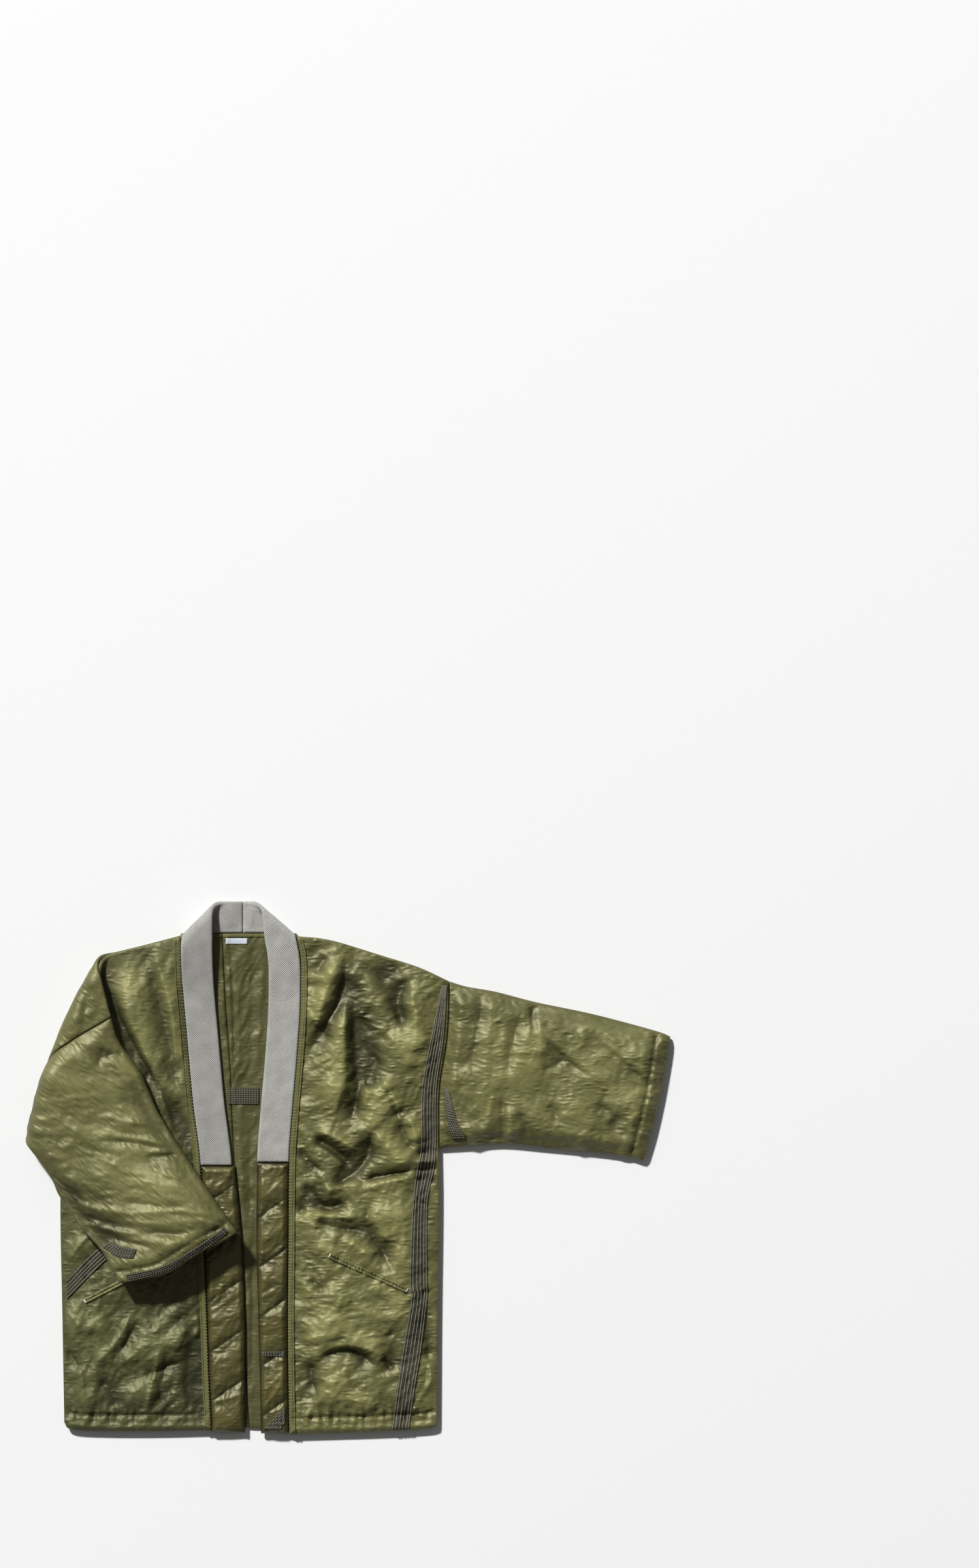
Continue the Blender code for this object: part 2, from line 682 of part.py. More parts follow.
def make_back(side_name, side, pattern, table, patches, lay, fold, cloths):
    """Half of the back, flat on the table, with the pieces sewn on its inside."""
    centre = smooth_line(CENTRE_BACK, 40.0) + np.array((side * SEAM_GAP / 2, 0.0))
    shoulder_line = smooth_line(pattern["shoulder"])
    hem_line = smooth_line(((CENTRE_BACK[0][0], 0),) + tuple(pattern["hem"][1:]), HEM_CELL)
    hem_line = hem_line + np.array((0.0, BACK_HEM_RISE))
    hem_line[0] = centre[0]
    neck_y = NECK_LINE - NECK_EASE
    centre[-1][1] = neck_y
    neck = smooth_line((centre[-1], (shoulder_line[0][0] - side * 2, neck_y)), 30.0)
    side_line = smooth_line(pattern["side"])
    side_line[0] = hem_line[-1]
    armhole_line = smooth_line(pattern["armhole"], ARMHOLE_CELL)
    outline = join_edges(
        neck, shoulder_line, armhole_line[::-1], side_line[::-1], hem_line[::-1], centre)
    guides = closed_loops(patch for patch, _ in patches.values())
    for row in table:
        ridge = smooth_line((row[:2], row[2:4]), 40.0)
        for step in (-2 * row[4], 0.0, 2 * row[4]):
            guides.append(ridge + np.array((step, 0.0)))
    layout = lay_points(outline, BACK_CELL, guides, fold=fold)
    flat = layout[0]
    depth = distance_to_line(flat, outline, closed=True)
    drop = rounded(depth, RIM)
    top = BACK_TOP - drop * RIM_UNDER + folds(flat, table)
    bottom = drop * RIM_UNDER
    make_slab("back_" + side_name, layout, top, bottom, lay, cloths["lining"])
    for name, (patch, cloth) in patches.items():
        make_patch(name, layout, top, patch, lay, cloth)


def make_sleeve(side_name, side, pattern, table, air, patches, lay, fold, cloths):
    """A sleeve: a flattened tube, open at the armhole and at the cuff."""
    away = np.array((side * ARMHOLE_GAP, 0.0))
    top_line = smooth_line(pattern["sleeve_top"], SLEEVE_EDGE_CELL)
    low_line = smooth_line(pattern["sleeve_low"], SLEEVE_EDGE_CELL)
    top_line[0] += away
    low_line[0] += away
    arm_line = wall_steps(smooth_line(pattern["armhole"], ARMHOLE_CELL), -side) + away
    cuff_line = wall_steps(smooth_line(pattern["cuff"]), side)
    outline = join_edges(low_line, cuff_line, top_line[::-1], arm_line[::-1])
    inner_low = walk_in(low_line, side, arm_line[1], cuff_line[1], WALL)
    inner_top = walk_in(top_line, -side, arm_line[-2], cuff_line[-2], WALL)
    cavity = join_edges(inner_low, cuff_line[1:-1], inner_top[::-1], arm_line[1:-1][::-1])
    guides = [inner_low, inner_top]
    guides.append(walk_in(low_line, side, low_line[0], low_line[-1], SLEEVE_ROUND)[1:-1])
    guides.append(walk_in(top_line, -side, top_line[0], top_line[-1], SLEEVE_ROUND)[1:-1])
    hem_line = cuff_line - side * np.array((CUFF_HEM_DEEP, 0.0))
    if fold is None:
        for step in GROOVE_ROWS:
            guides.append(clear_of_edge(hem_line + np.array((step, 0.0)), outline, WALL + 4.0))
    guides += fold_guides(outline, table, 32.0, WALL + 8.0)
    guides += closed_loops(patch for patch, _ in patches.values())
    layout = lay_points(outline, SLEEVE_CELL, guides, rim=0.0, fold=fold)
    flat = layout[0]
    long_edges = np.minimum(distance_to_line(flat, low_line), distance_to_line(flat, top_line))
    depth = distance_to_line(flat, outline, closed=True)
    drop = rounded(long_edges, SLEEVE_RIM)
    ends = rounded(depth, RIM) * SLEEVE_END_RIM * (long_edges > RIM)
    shape = folds(flat, table) * smoothstep((long_edges - WALL) / FOLDS_REACH)
    shape = np.maximum(shape, -0.4 * SLEEVE_AIR) * smoothstep(depth / FOLDS_REACH)
    pulled = groove(flat, hem_line, CUFF_GROOVE) * smoothstep(long_edges / (2 * WALL))
    down_sleeve = (np.abs(flat[:, 0]) - SLEEVE_START) / SLEEVE_LONG
    opened = air * smoothstep(2 * down_sleeve - 1.0)
    opened = opened * np.sqrt(smoothstep((long_edges - WALL) / CUFF_AIR_REACH))
    puffed = SLEEVE_AIR * smoothstep((long_edges - 1.0) / SLEEVE_AIR_REACH)
    height = 2 * WALL + SEAM_GAP + puffed + opened
    under = np.zeros(len(flat))
    if fold is not None:
        under = -shape
        shape = np.zeros(len(flat))
    top = height + shape - drop - ends
    bottom = under + drop + ends
    inside_heights = (height - WALL, np.full(len(flat), WALL))
    if fold is None:
        top = top - pulled
        shown = top
    else:
        bottom = bottom + pulled
        shown = bottom
    make_slab(
        "sleeve_" + side_name, layout, top, bottom, lay, cloths["nylon"], cavity, inside_heights)
    facing = -1 if fold is not None else 1
    for name, (patch, cloth) in patches.items():
        make_patch(name, layout, shown, patch, lay, cloth, side=facing)


def wall_steps(line, outward):
    """An open end's line, with a point one wall in from each corner, a hair outwards."""
    first = line[0] + (line[1] - line[0]) * (WALL / np.linalg.norm(line[1] - line[0]))
    last = line[-1] + (line[-2] - line[-1]) * (WALL / np.linalg.norm(line[-2] - line[-1]))
    hair = np.array((0.15 * outward, 0.0))
    return np.vstack([line[:1], first + hair, line[1:-1], last + hair, line[-1:]])


def walk_in(edge, turn, start, end, depth):
    """A long edge moved in by a depth, between a given start and end."""
    inner = []
    for before, point, after in zip(edge, edge[1:], edge[2:]):
        run = (after - before) / np.linalg.norm(after - before)
        inner.append(point + turn * depth * np.array((-run[1], run[0])))
    return np.vstack([start, inner, end])


def quilt(flat):
    """The height that the diagonal quilting adds between its stitch lines."""
    phase = (flat[:, 1] - QUILT_START - QUILT_SLOPE * flat[:, 0]) / QUILT_STEP
    return QUILT_PUFF * np.abs(np.sin(math.pi * phase)) ** 0.7


def make_band(side_name, side, seam, inner_table, end_y, patches, cloths):
    """A quilted band from the collar's end down to the hem."""
    low_y = inner_table[0][0]
    heights = np.linspace(low_y, end_y - SEAM_GAP, 16)
    outer = np.column_stack([along(seam, heights) - side * SEAM_GAP, heights])
    inner = np.column_stack([along(inner_table, heights), heights])
    outline = join_edges(outer, inner[::-1])
    guides = closed_loops(patch for patch, _ in patches.values())
    x = np.arange(-90.0, 90.0, 10.0)
    for start_y in np.arange(QUILT_START - QUILT_STEP, end_y + QUILT_STEP, QUILT_STEP / 2):
        line = np.column_stack([x, start_y + QUILT_SLOPE * x])
        line = clear_of_edge(line, outline, RIM + 2.0)
        if len(line) > 1:
            guides.append(line)
    layout = lay_points(outline, BAND_CELL, guides)
    flat = layout[0]
    depth = distance_to_line(flat, outline, closed=True)
    drop = rounded(depth, RIM)
    top = BAND_BOTTOM + BAND_THICK - drop + quilt(flat) * smoothstep(depth / (2 * WALL))
    bottom = BAND_BOTTOM + drop * BAND_RIM_UNDER
    make_slab("quilted_band_" + side_name, layout, top, bottom, lay_flat, cloths["quilted_nylon"])
    for name, (patch, cloth) in patches.items():
        make_patch(name, layout, top, patch, lay_flat, cloth)


def settle_origin():
    """Move the jacket so that its origin is under the middle of its box."""
    made = list(bpy.context.scene.objects)
    corners = np.array([tuple(vertex.co) for item in made for vertex in item.data.vertices])
    middle = (corners.min(axis=0) + corners.max(axis=0)) / 2
    for item in made:
        for vertex in item.data.vertices:
            vertex.co.x -= middle[0]
            vertex.co.y -= middle[1]
    print("box", corners.min(axis=0), corners.max(axis=0), "middle", middle)


def main():
    """Cut and sew the jacket."""
    clear_scene()
    cloths = {name: make_cloth(name) for name in CLOTHS}
    neck_right, neck_left = [
        strip_outline(((x0, NECK_BINDING_LOW, x0, NECK_LINE), (x1, NECK_BINDING_LOW, x1, NECK_LINE)))
        for x0, x1 in NECK_BINDING_SPANS
    ]
    (label_x0, label_x1), (label_y0, label_y1) = LABEL_X, LABEL_Y
    label = strip_outline(((label_x0, label_y0, label_x0, label_y1),
                           (label_x1, label_y0, label_x1, label_y1)))
    back_patches_left = {
        "back_tape": (strip_outline(TAPE_BACK), cloths["tape"]),
        "neck_label": (label, cloths["label"]),
        "neck_binding_left": (neck_left, cloths["binding"]),
    }
    back_patches_right = {"neck_binding_right": (neck_right, cloths["binding"])}
    make_back("left", 1, PATTERN_LEFT, FOLDS_BACK, back_patches_left, lay_flat, None, cloths)
    make_back(
        "right", -1, PATTERN_RIGHT, (), back_patches_right, lay_right, SHOULDER_FOLD, cloths)
    front_patches_left = {
        "seam_tape_left": strip_outline(TAPE_FRONT_LEFT),
        "pocket_welt_left": slit_outline(POCKET_LEFT),
    }
    front_patches_right = {
        "seam_tape_right": strip_outline(TAPE_SIDE_RIGHT),
        "pocket_welt_right": slit_outline(POCKET_RIGHT),
    }
    make_front(
        "left", 1, PATTERN_LEFT, FOLDS_FRONT_LEFT, FRONT_PUFF_LEFT, front_patches_left, lay_flat,
        None, cloths)
    make_front(
        "right", -1, PATTERN_RIGHT, FOLDS_FRONT_RIGHT, FRONT_PUFF_RIGHT, front_patches_right,
        lay_right, SHOULDER_FOLD, cloths)
    sleeve_patches_left = {"sleeve_tape_left": (strip_outline(TAPE_SLEEVE_LEFT), cloths["tape"])}
    sleeve_patches_right = {
        "cuff_tape_right": (strip_outline(TAPE_CUFF_RIGHT), cloths["tape"]),
        "sleeve_tape_right": (strip_outline(TAPE_SLEEVE_RIGHT), cloths["tape"]),
    }
    make_sleeve(
        "left", 1, PATTERN_LEFT, FOLDS_SLEEVE_LEFT, 0.0, sleeve_patches_left, lay_flat, None,
        cloths)
    make_sleeve(
        "right", -1, PATTERN_RIGHT, FOLDS_SLEEVE_RIGHT, CUFF_AIR_RIGHT, sleeve_patches_right,
        lay_right, SHOULDER_FOLD, cloths)
    collar_half(
        "collar_right", COLLAR_FOLD_RIGHT, COLLAR_HEIGHT_RIGHT, SEAM_RIGHT, COLLAR_END_RIGHT, -1,
        cloths["wool"])
    collar_half(
        "collar_left", COLLAR_FOLD_LEFT, COLLAR_HEIGHT_LEFT, SEAM_LEFT, COLLAR_END_LEFT, 1,
        cloths["wool"])
    band_patches = {
        "band_tape_upper": (strip_outline(TAPE_BAND_UPPER), cloths["tape"]),
        "band_tape_lower": (strip_outline(TAPE_BAND_LOWER), cloths["tape"]),
    }
    make_band("right", -1, SEAM_RIGHT, BAND_INNER_RIGHT, COLLAR_END_RIGHT, {}, cloths)
    make_band("left", 1, SEAM_LEFT, BAND_INNER_LEFT, COLLAR_END_LEFT, band_patches, cloths)
    settle_origin()


main()
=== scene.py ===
# %% [markdown]
# # A padded hanten jacket, laid flat
# The real jacket is sewn from thin crumpled nylon over light wadding. It has a grey wool
# collar, quilted bands down the front, and dark stitched tapes over some seams. It lies on a
# pale floor with its right sleeve folded over the front, and is seen from straight above.
# We could sculpt it by hand, but a tailor's way is easier to check: draft every cut piece
# on the flat in millimetres, give it thickness and creases, then fold what is folded.

# %% Load the finished solids
import math

import bpy
import numpy as np
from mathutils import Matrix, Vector
from mathutils.geometry import delaunay_2d_cdt


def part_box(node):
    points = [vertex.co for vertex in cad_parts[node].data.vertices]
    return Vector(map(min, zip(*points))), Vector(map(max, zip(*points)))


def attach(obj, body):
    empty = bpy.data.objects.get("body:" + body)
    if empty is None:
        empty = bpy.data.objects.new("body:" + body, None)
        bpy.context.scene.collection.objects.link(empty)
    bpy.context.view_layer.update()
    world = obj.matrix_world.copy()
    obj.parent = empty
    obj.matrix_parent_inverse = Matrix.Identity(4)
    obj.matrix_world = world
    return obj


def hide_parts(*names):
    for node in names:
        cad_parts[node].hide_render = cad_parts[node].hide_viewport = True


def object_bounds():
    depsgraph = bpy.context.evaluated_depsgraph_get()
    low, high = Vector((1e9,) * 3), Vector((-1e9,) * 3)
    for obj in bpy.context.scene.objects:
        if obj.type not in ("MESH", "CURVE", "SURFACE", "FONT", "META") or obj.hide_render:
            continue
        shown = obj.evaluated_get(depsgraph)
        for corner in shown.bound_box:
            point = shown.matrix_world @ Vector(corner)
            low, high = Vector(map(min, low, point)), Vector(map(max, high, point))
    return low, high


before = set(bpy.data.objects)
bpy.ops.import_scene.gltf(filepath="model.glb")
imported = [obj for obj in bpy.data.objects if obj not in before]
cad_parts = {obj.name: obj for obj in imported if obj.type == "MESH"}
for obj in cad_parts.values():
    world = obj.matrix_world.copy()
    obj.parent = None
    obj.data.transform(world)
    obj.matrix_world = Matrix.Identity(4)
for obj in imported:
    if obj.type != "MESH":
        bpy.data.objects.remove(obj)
cad_box = [list(corner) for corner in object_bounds()]
print("solids", len(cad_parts), "box", cad_box)

# %% [markdown]
# The draft counts millimetres: x runs from the centre back to the wearer's left, y up from
# the hem, z up from the floor. One pixel of the photograph is one millimetre, so a place in
# it only needs shifting. The neck label is a plain rectangle with a known place in the
# draft, so its box tells us where the draft lies among the solids.

# %% Where the draft lies
MM = 0.001
LABEL_X = (-40.0, -7.0)
LABEL_Y = (745.0, 754.0)
label_low, label_high = (np.array(corner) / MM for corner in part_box("neck_label"))
LABEL_MIDDLE = np.array((sum(LABEL_X) / 2, sum(LABEL_Y) / 2))
DRAFT_SHIFT = np.append((label_low + label_high)[:2] / 2 - LABEL_MIDDLE, 0.0)
PHOTO_ORIGIN = (386.0, 2190.0)
print("draft shifted by", DRAFT_SHIFT)


def from_photo(table):
    """Rows that start with pixel pairs, with each pair turned into draft millimetres."""
    rows = []
    for pixels, *rest in table:
        pairs = np.array(pixels, float).reshape(-1, 2)
        rows.append((np.column_stack([pairs[:, 0] - PHOTO_ORIGIN[0],
                                      PHOTO_ORIGIN[1] - pairs[:, 1]]), *rest))
    return rows


# %% [markdown]
# The camera looks straight down from ten metres through a long lens, so that the far edge
# of the cloth is drawn at the same scale as the near one, as in the photograph. A sensor
# and a lens of 36 and 150 millimetres see 2.4 metres at that height: one millimetre a pixel.

# %% The camera
PHOTO_SIZE = (1499, 2400)
CAMERA_HEIGHT = 10.0
CAMERA_REACH = 50.0
LENS = 150.0
SENSOR_WIDE = 36.0
middle = np.array((PHOTO_SIZE[0] / 2 - PHOTO_ORIGIN[0], PHOTO_ORIGIN[1] - PHOTO_SIZE[1] / 2, 0.0))
camera = bpy.data.objects.new("camera", bpy.data.cameras.new("camera"))
camera.data.lens = LENS
camera.data.sensor_width = SENSOR_WIDE
camera.data.clip_end = CAMERA_REACH
camera.location = (middle + DRAFT_SHIFT) * MM
camera.location.z = CAMERA_HEIGHT
bpy.context.scene.collection.objects.link(camera)
bpy.context.scene.camera = camera
print("camera over", tuple(round(value, 3) for value in camera.location))

# %% [markdown]
# A white floor and one soft light high at the upper left, as in the photograph: the light
# rakes the cloth at about half a right angle, which is what shows creases. A pale sky fills
# the shadows a little.

# %% Floor and light
FLOOR_HALF = 4.0
FLOOR_DROP = 0.0004
FLOOR_CORNERS = ((-1, -1), (1, -1), (1, 1), (-1, 1))
FLOOR_COLOUR = (0.88, 0.88, 0.88, 1.0)
FLOOR_ROUGHNESS = 0.9
SKY_COLOUR = (1.0, 1.0, 1.0, 1.0)
LIGHT_AWAY = Vector((-17.4, 28.2, 28.2))
LIGHT_SIZE = 4.2
LIGHT_POWER = 26000.0
SKY_STRENGTH = 0.13


def make_floor():
    """A plain pale sheet just under the cloth."""
    z = cad_box[0][2] - FLOOR_DROP
    mesh = bpy.data.meshes.new("floor")
    corners = [(across * FLOOR_HALF, up * FLOOR_HALF, z) for across, up in FLOOR_CORNERS]
    mesh.from_pydata(corners, [], [(0, 1, 2, 3)])
    floor = bpy.data.objects.new("floor", mesh)
    bpy.context.scene.collection.objects.link(floor)
    paint = bpy.data.materials.new("pale_floor")
    paint.use_nodes = True
    shader = paint.node_tree.nodes["Principled BSDF"]
    shader.inputs["Base Color"].default_value = FLOOR_COLOUR
    shader.inputs["Roughness"].default_value = FLOOR_ROUGHNESS
    mesh.materials.append(paint)
    return floor


def make_light():
    """One soft lamp, aimed at the jacket."""
    lamp = bpy.data.lights.new("soft_light", "AREA")
    lamp.shape = "DISK"
    lamp.size = LIGHT_SIZE
    lamp.energy = LIGHT_POWER
    light = bpy.data.objects.new("soft_light", lamp)
    light.location = LIGHT_AWAY
    light.rotation_mode = "QUATERNION"
    light.rotation_quaternion = Vector(-LIGHT_AWAY).to_track_quat("-Z", "Y")
    bpy.context.scene.collection.objects.link(light)
    return light


floor = make_floor()
make_light()
world = bpy.data.worlds.new("pale_sky")
world.use_nodes = True
background = world.node_tree.nodes["Background"]
background.inputs["Color"].default_value = SKY_COLOUR
background.inputs["Strength"].default_value = SKY_STRENGTH
bpy.context.scene.world = world
bpy.context.scene.view_settings.view_transform = "Standard"
print("floor", floor.name, "and light at", tuple(LIGHT_AWAY))

# %% [markdown]
# Every cut piece starts as an outline. A few corners give each edge, and a smooth line
# through them gives the curve a tailor would draw with a curved ruler.

# %% Lines and outlines
EDGE_STEP = 4.0
SAME_PLACE = 0.5
SHARPEST_TURN = -0.6


def smooth_line(corners, step=EDGE_STEP):
    """A smooth line through the corners, with a point about every step."""
    corners = np.array(corners, float)
    first = 2 * corners[0] - corners[1]
    last = 2 * corners[-1] - corners[-2]
    knots = np.vstack([first, corners, last])
    line = [corners[0]]
    for before, start, end, after in zip(knots, knots[1:], knots[2:], knots[3:]):
        pieces = max(1, round(np.linalg.norm(end - start) / step))
        for piece in range(1, pieces + 1):
            t = piece / pieces
            bend = 2 * before - 5 * start + 4 * end - after
            twist = 3 * start - before - 3 * end + after
            line.append(0.5 * (2 * start + (end - before) * t + bend * t ** 2 + twist * t ** 3))
    return np.array(line)


def along(table, y):
    """The second column of a table at a given height, smoothed between its rows."""
    line = smooth_line(table)
    return np.interp(y, line[:, 0], line[:, 1])


def join_edges(*edges):
    """One closed outline from edges that follow each other, end to end."""
    points = []
    for edge in edges:
        for point in edge:
            if not points or np.linalg.norm(point - points[-1]) > SAME_PLACE:
                points.append(point)
    if np.linalg.norm(points[0] - points[-1]) <= SAME_PLACE:
        points.pop()
    outline = np.array(points)
    following = np.roll(outline, -1, axis=0)
    turning = np.sum(outline[:, 0] * following[:, 1] - following[:, 0] * outline[:, 1])
    return outline if turning > 0 else outline[::-1]


test_line = smooth_line(((0, 0), (40, 30), (80, 0)))
print("a test line has", len(test_line), "points; at 60 mm along it is",
      round(float(along(((0, 0), (40, 30), (80, 0)), 60.0)), 1), "mm high")


# %% Where a point lies from an outline
def inside(points, outline):
    """Which points lie inside a closed outline."""
    hits = np.zeros(len(points), bool)
    x, y = points[:, 0], points[:, 1]
    for start, end in zip(outline, np.roll(outline, -1, axis=0)):
        crosses = (start[1] > y) != (end[1] > y)
        run = (end[0] - start[0]) * (y - start[1]) / (end[1] - start[1] + 1e-12) + start[0]
        hits ^= crosses & (x < run)
    return hits


def nearest_on(points, line, closed=False):
    """For each point: its distance from a line, how far along that is, and on which side."""
    starts = line if closed else line[:-1]
    ends = np.roll(line, -1, axis=0) if closed else line[1:]
    best = np.full(len(points), np.inf)
    place = np.zeros(len(points))
    side = np.ones(len(points))
    walked = 0.0
    for start, end in zip(starts, ends):
        run = end - start
        long = math.sqrt(run @ run) + 1e-9
        away = points - start
        share = np.clip(away @ run / long ** 2, 0.0, 1.0)
        off = away - share[:, None] * run
        distance = np.sqrt(off[:, 0] ** 2 + off[:, 1] ** 2)
        closer = distance < best
        best[closer] = distance[closer]
        place[closer] = walked + share[closer] * long
        side[closer] = np.sign(run[0] * away[closer, 1] - run[1] * away[closer, 0])
        walked += long
    return best, place, side


def from_edge(points, outline):
    """How far each point lies in from a closed outline."""
    return nearest_on(points, outline, closed=True)[0]


def inset(outline, depth):
    """The outline moved inwards by a depth."""
    before = np.roll(outline, 1, axis=0)
    after = np.roll(outline, -1, axis=0)
    run_in = outline - before
    run_out = after - outline
    run_in /= np.linalg.norm(run_in, axis=1)[:, None]
    run_out /= np.linalg.norm(run_out, axis=1)[:, None]
    inward = np.stack([-(run_in + run_out)[:, 1], (run_in + run_out)[:, 0]], axis=1)
    inward /= np.linalg.norm(inward, axis=1)[:, None]
    turn = np.clip(np.sum(run_in * run_out, axis=1), SHARPEST_TURN, 1.0)
    return outline + inward * (depth / np.sqrt((1 + turn) / 2))[:, None]


square = join_edges(smooth_line(((0, 0), (80, 0))), smooth_line(((80, 0), (80, 60))),
                    smooth_line(((80, 60), (0, 60))), smooth_line(((0, 60), (0, 0))))
print("a test square has", len(square), "points; its middle is",
      float(from_edge(np.array([[40.0, 30.0]]), square)[0]), "mm in")

# %% [markdown]
# The outline is then filled with a dense staggered lattice and joined up into triangles. A
# plain grid would leave steps along slanted edges; this way the edge stays clean, and two
# loops of points just inside it give the sewn edge room to round over.

# %% Filling an outline
RIM_LOOPS = (0.8, 2.0)
CLEAR_OF_RIM = 0.5
CLEAR_OF_GUIDE = 0.3
# For Blender's triangulation: keep what lies inside, and join points nearer than this
KEEP_INSIDE = 1
JOIN_NEARER = 1e-4


def lattice(outline, cell, clear):
    """Staggered points inside an outline, clear of its edge."""
    low = outline.min(axis=0)
    high = outline.max(axis=0)
    rows = []
    row_step = cell * math.sqrt(3) / 2
    for row in range(int((high[1] - low[1]) / row_step) + 2):
        x = np.arange(low[0] + cell / 2 * (row % 2), high[0] + cell, cell)
        rows.append(np.column_stack([x, np.full(len(x), low[1] + row * row_step)]))
    points = np.vstack(rows)
    points = points[inside(points, outline)]
    return points[from_edge(points, outline) > clear]


def fill(outline, cell, guides=(), loops=RIM_LOOPS, fine=None):
    """Points and triangles over an outline, finer inside a part of it, along guide lines."""
    fixed = [outline]
    links = []
    start = len(outline)
    for guide in guides:
        fixed.append(guide)
        links += [(start + k, start + k + 1) for k in range(len(guide) - 1)]
        start += len(guide)
    free = [inset(outline, depth) for depth in loops]
    clear = (loops[-1] if loops else 0.0) + CLEAR_OF_RIM * cell
    spread = lattice(outline, cell, clear)
    if fine is not None:
        patch, small_cell = fine
        small = lattice(patch, small_cell, 0.0)
        small = small[inside(small, outline)]
        free.append(small[from_edge(small, outline) > clear])
        spread = spread[~inside(spread, patch)]
    free = np.vstack(free + [spread])
    for guide in guides:
        free = free[nearest_on(free, guide)[0] > CLEAR_OF_GUIDE * cell]
    points = np.vstack(fixed + [free])
    loop = list(range(len(outline)))
    found = delaunay_2d_cdt(points.tolist(), links, [loop], KEEP_INSIDE, JOIN_NEARER, False)
    flat = np.array([tuple(point) for point in found[0]])
    triangles = np.array([list(face) for face in found[2]])
    centres = flat[triangles].mean(axis=1)
    return flat, triangles[inside(centres, outline)]


test_fill = fill(square, 5.0)
print("the test square is filled with", len(test_fill[1]), "triangles")

# %% [markdown]
# A filled outline becomes cloth when it gets a top and an underside. The two are joined
# round the rim, so each piece is one closed skin. A sleeve also has a hollow: a second pair
# of surfaces inside it, open at the armhole and the cuff. Each point remembers its place
# on the flat cut, and the cloth's weave is later drawn from that, so it follows the cut.

# %% Turning an outline into cloth
LAYERS_APART = 40.0


def open_edges(triangles):
    """The edges that only one triangle uses, in its own order."""
    edges = np.vstack([triangles[:, [0, 1]], triangles[:, [1, 2]], triangles[:, [2, 0]]])
    codes = edges.min(axis=1) * (triangles.max() + 1) + edges.max(axis=1)
    _, first, uses = np.unique(codes, return_index=True, return_counts=True)
    return [tuple(edge) for edge in edges[first[uses == 1]].tolist()]


def make_slab(name, flat, triangles, surfaces, cloths, cavity=None, rise=None):
    """A closed slab from its laid surfaces: top, underside, and a hollow's ceiling and floor."""
    count = len(flat)
    points = np.vstack(surfaces)
    upper, lower, ceiling, floor_level = 0, count, 2 * count, 3 * count
    outer = set(open_edges(triangles))
    inner = set()
    faces = triangles.tolist() + (triangles[:, ::-1] + lower).tolist()
    kinds = [0] * len(triangles) + [1] * len(triangles)
    if cavity is not None:
        centres = flat[triangles].mean(axis=1)
        hollow = triangles[inside(centres, cavity)]
        faces += (hollow[:, ::-1] + ceiling).tolist() + (hollow + floor_level).tolist()
        kinds += [2] * 2 * len(hollow)
        inner = set(open_edges(hollow))
    mouths = {corner for edge in inner & outer for corner in edge}
    for a, b in outer - inner:
        far_side = (b + floor_level, b + ceiling) if b in mouths else ()
        near_side = (a + ceiling, a + floor_level) if a in mouths else ()
        faces.append((a + lower, b + lower) + far_side + (b + upper, a + upper) + near_side)
        kinds.append(1)
    for a, b in inner & outer:
        faces.append((a + ceiling, b + ceiling, b + upper, a + upper))
        faces.append((a + lower, b + lower, b + floor_level, a + floor_level))
        kinds += [0, 1]
    for a, b in inner - outer:
        faces.append((b + floor_level, a + floor_level, a + ceiling, b + ceiling))
        kinds.append(2)
    cut = np.vstack([np.column_stack([flat, np.full(count, LAYERS_APART * layer)])
                     for layer in range(len(surfaces))])
    rises = None if rise is None else np.tile(rise, len(surfaces))
    return add_cloth(name, points, faces, cut, cloths, kinds, rises)


print("the test square's rim has", len(open_edges(test_fill[1])), "edges")


# %% From points to an object
def add_cloth(name, points, faces, cut, cloths, kinds=None, rise=None):
    """An object from its draft points, with its flat cut and its rise kept as attributes."""
    used = np.unique(np.concatenate([np.array(face) for face in faces]))
    place = np.zeros(len(points), int)
    place[used] = np.arange(len(used))
    mesh = bpy.data.meshes.new(name)
    shown = (points[used] + DRAFT_SHIFT) * MM
    mesh.from_pydata(shown.tolist(), [], [tuple(place[list(face)].tolist()) for face in faces])
    for cloth in cloths:
        mesh.materials.append(cloth)
    if kinds is not None:
        mesh.polygons.foreach_set("material_index", np.minimum(kinds, len(cloths) - 1))
    marks = mesh.attributes.new("cut", "FLOAT_VECTOR", "POINT")
    marks.data.foreach_set("vector", cut[used].astype(np.float32).ravel())
    if rise is not None:
        marks = mesh.attributes.new("rise", "FLOAT", "POINT")
        marks.data.foreach_set("value", rise[used].astype(np.float32))
    mesh.polygons.foreach_set("use_smooth", np.ones(len(mesh.polygons), bool))
    mesh.update()
    made = bpy.data.objects.new(name, mesh)
    bpy.context.scene.collection.objects.link(made)
    return made


print("a draft point moves by", DRAFT_SHIFT, "mm into the shared frame")


# %% Heights, soft steps and rounded edges
def raised(flat, heights):
    """Flat points with their heights."""
    return np.column_stack([flat, heights * np.ones(len(flat))])


def smoothstep(value):
    """A soft step from 0 to 1."""
    value = np.clip(value, 0.0, 1.0)
    return value * value * (3 - 2 * value)


def rounded(depth, rim):
    """How far a rounded edge has dropped at a depth in from the edge."""
    short = np.clip(rim - depth, 0.0, rim)
    return rim - np.sqrt(rim ** 2 - short ** 2)


print("an edge of 3 mm drops", round(float(rounded(np.array([1.0]), 3.0)[0]), 2), "mm at 1 mm in")

# %% [markdown]
# Nylon over wadding creases in three sizes. The few big folds are placed where the
# photograph shows them: each is a line with a crest or a trough, steeper on one side, since
# the cloth leans over. The small crumples come from smooth noise folded along its zero line,
# which gives soft fields that meet in thin crests. Near a row of stitches the cloth gathers
# into short ripples across the seam.

# %% Soft noise
NOISE_TABLE = 61
NOISE_GAIN = 1.6


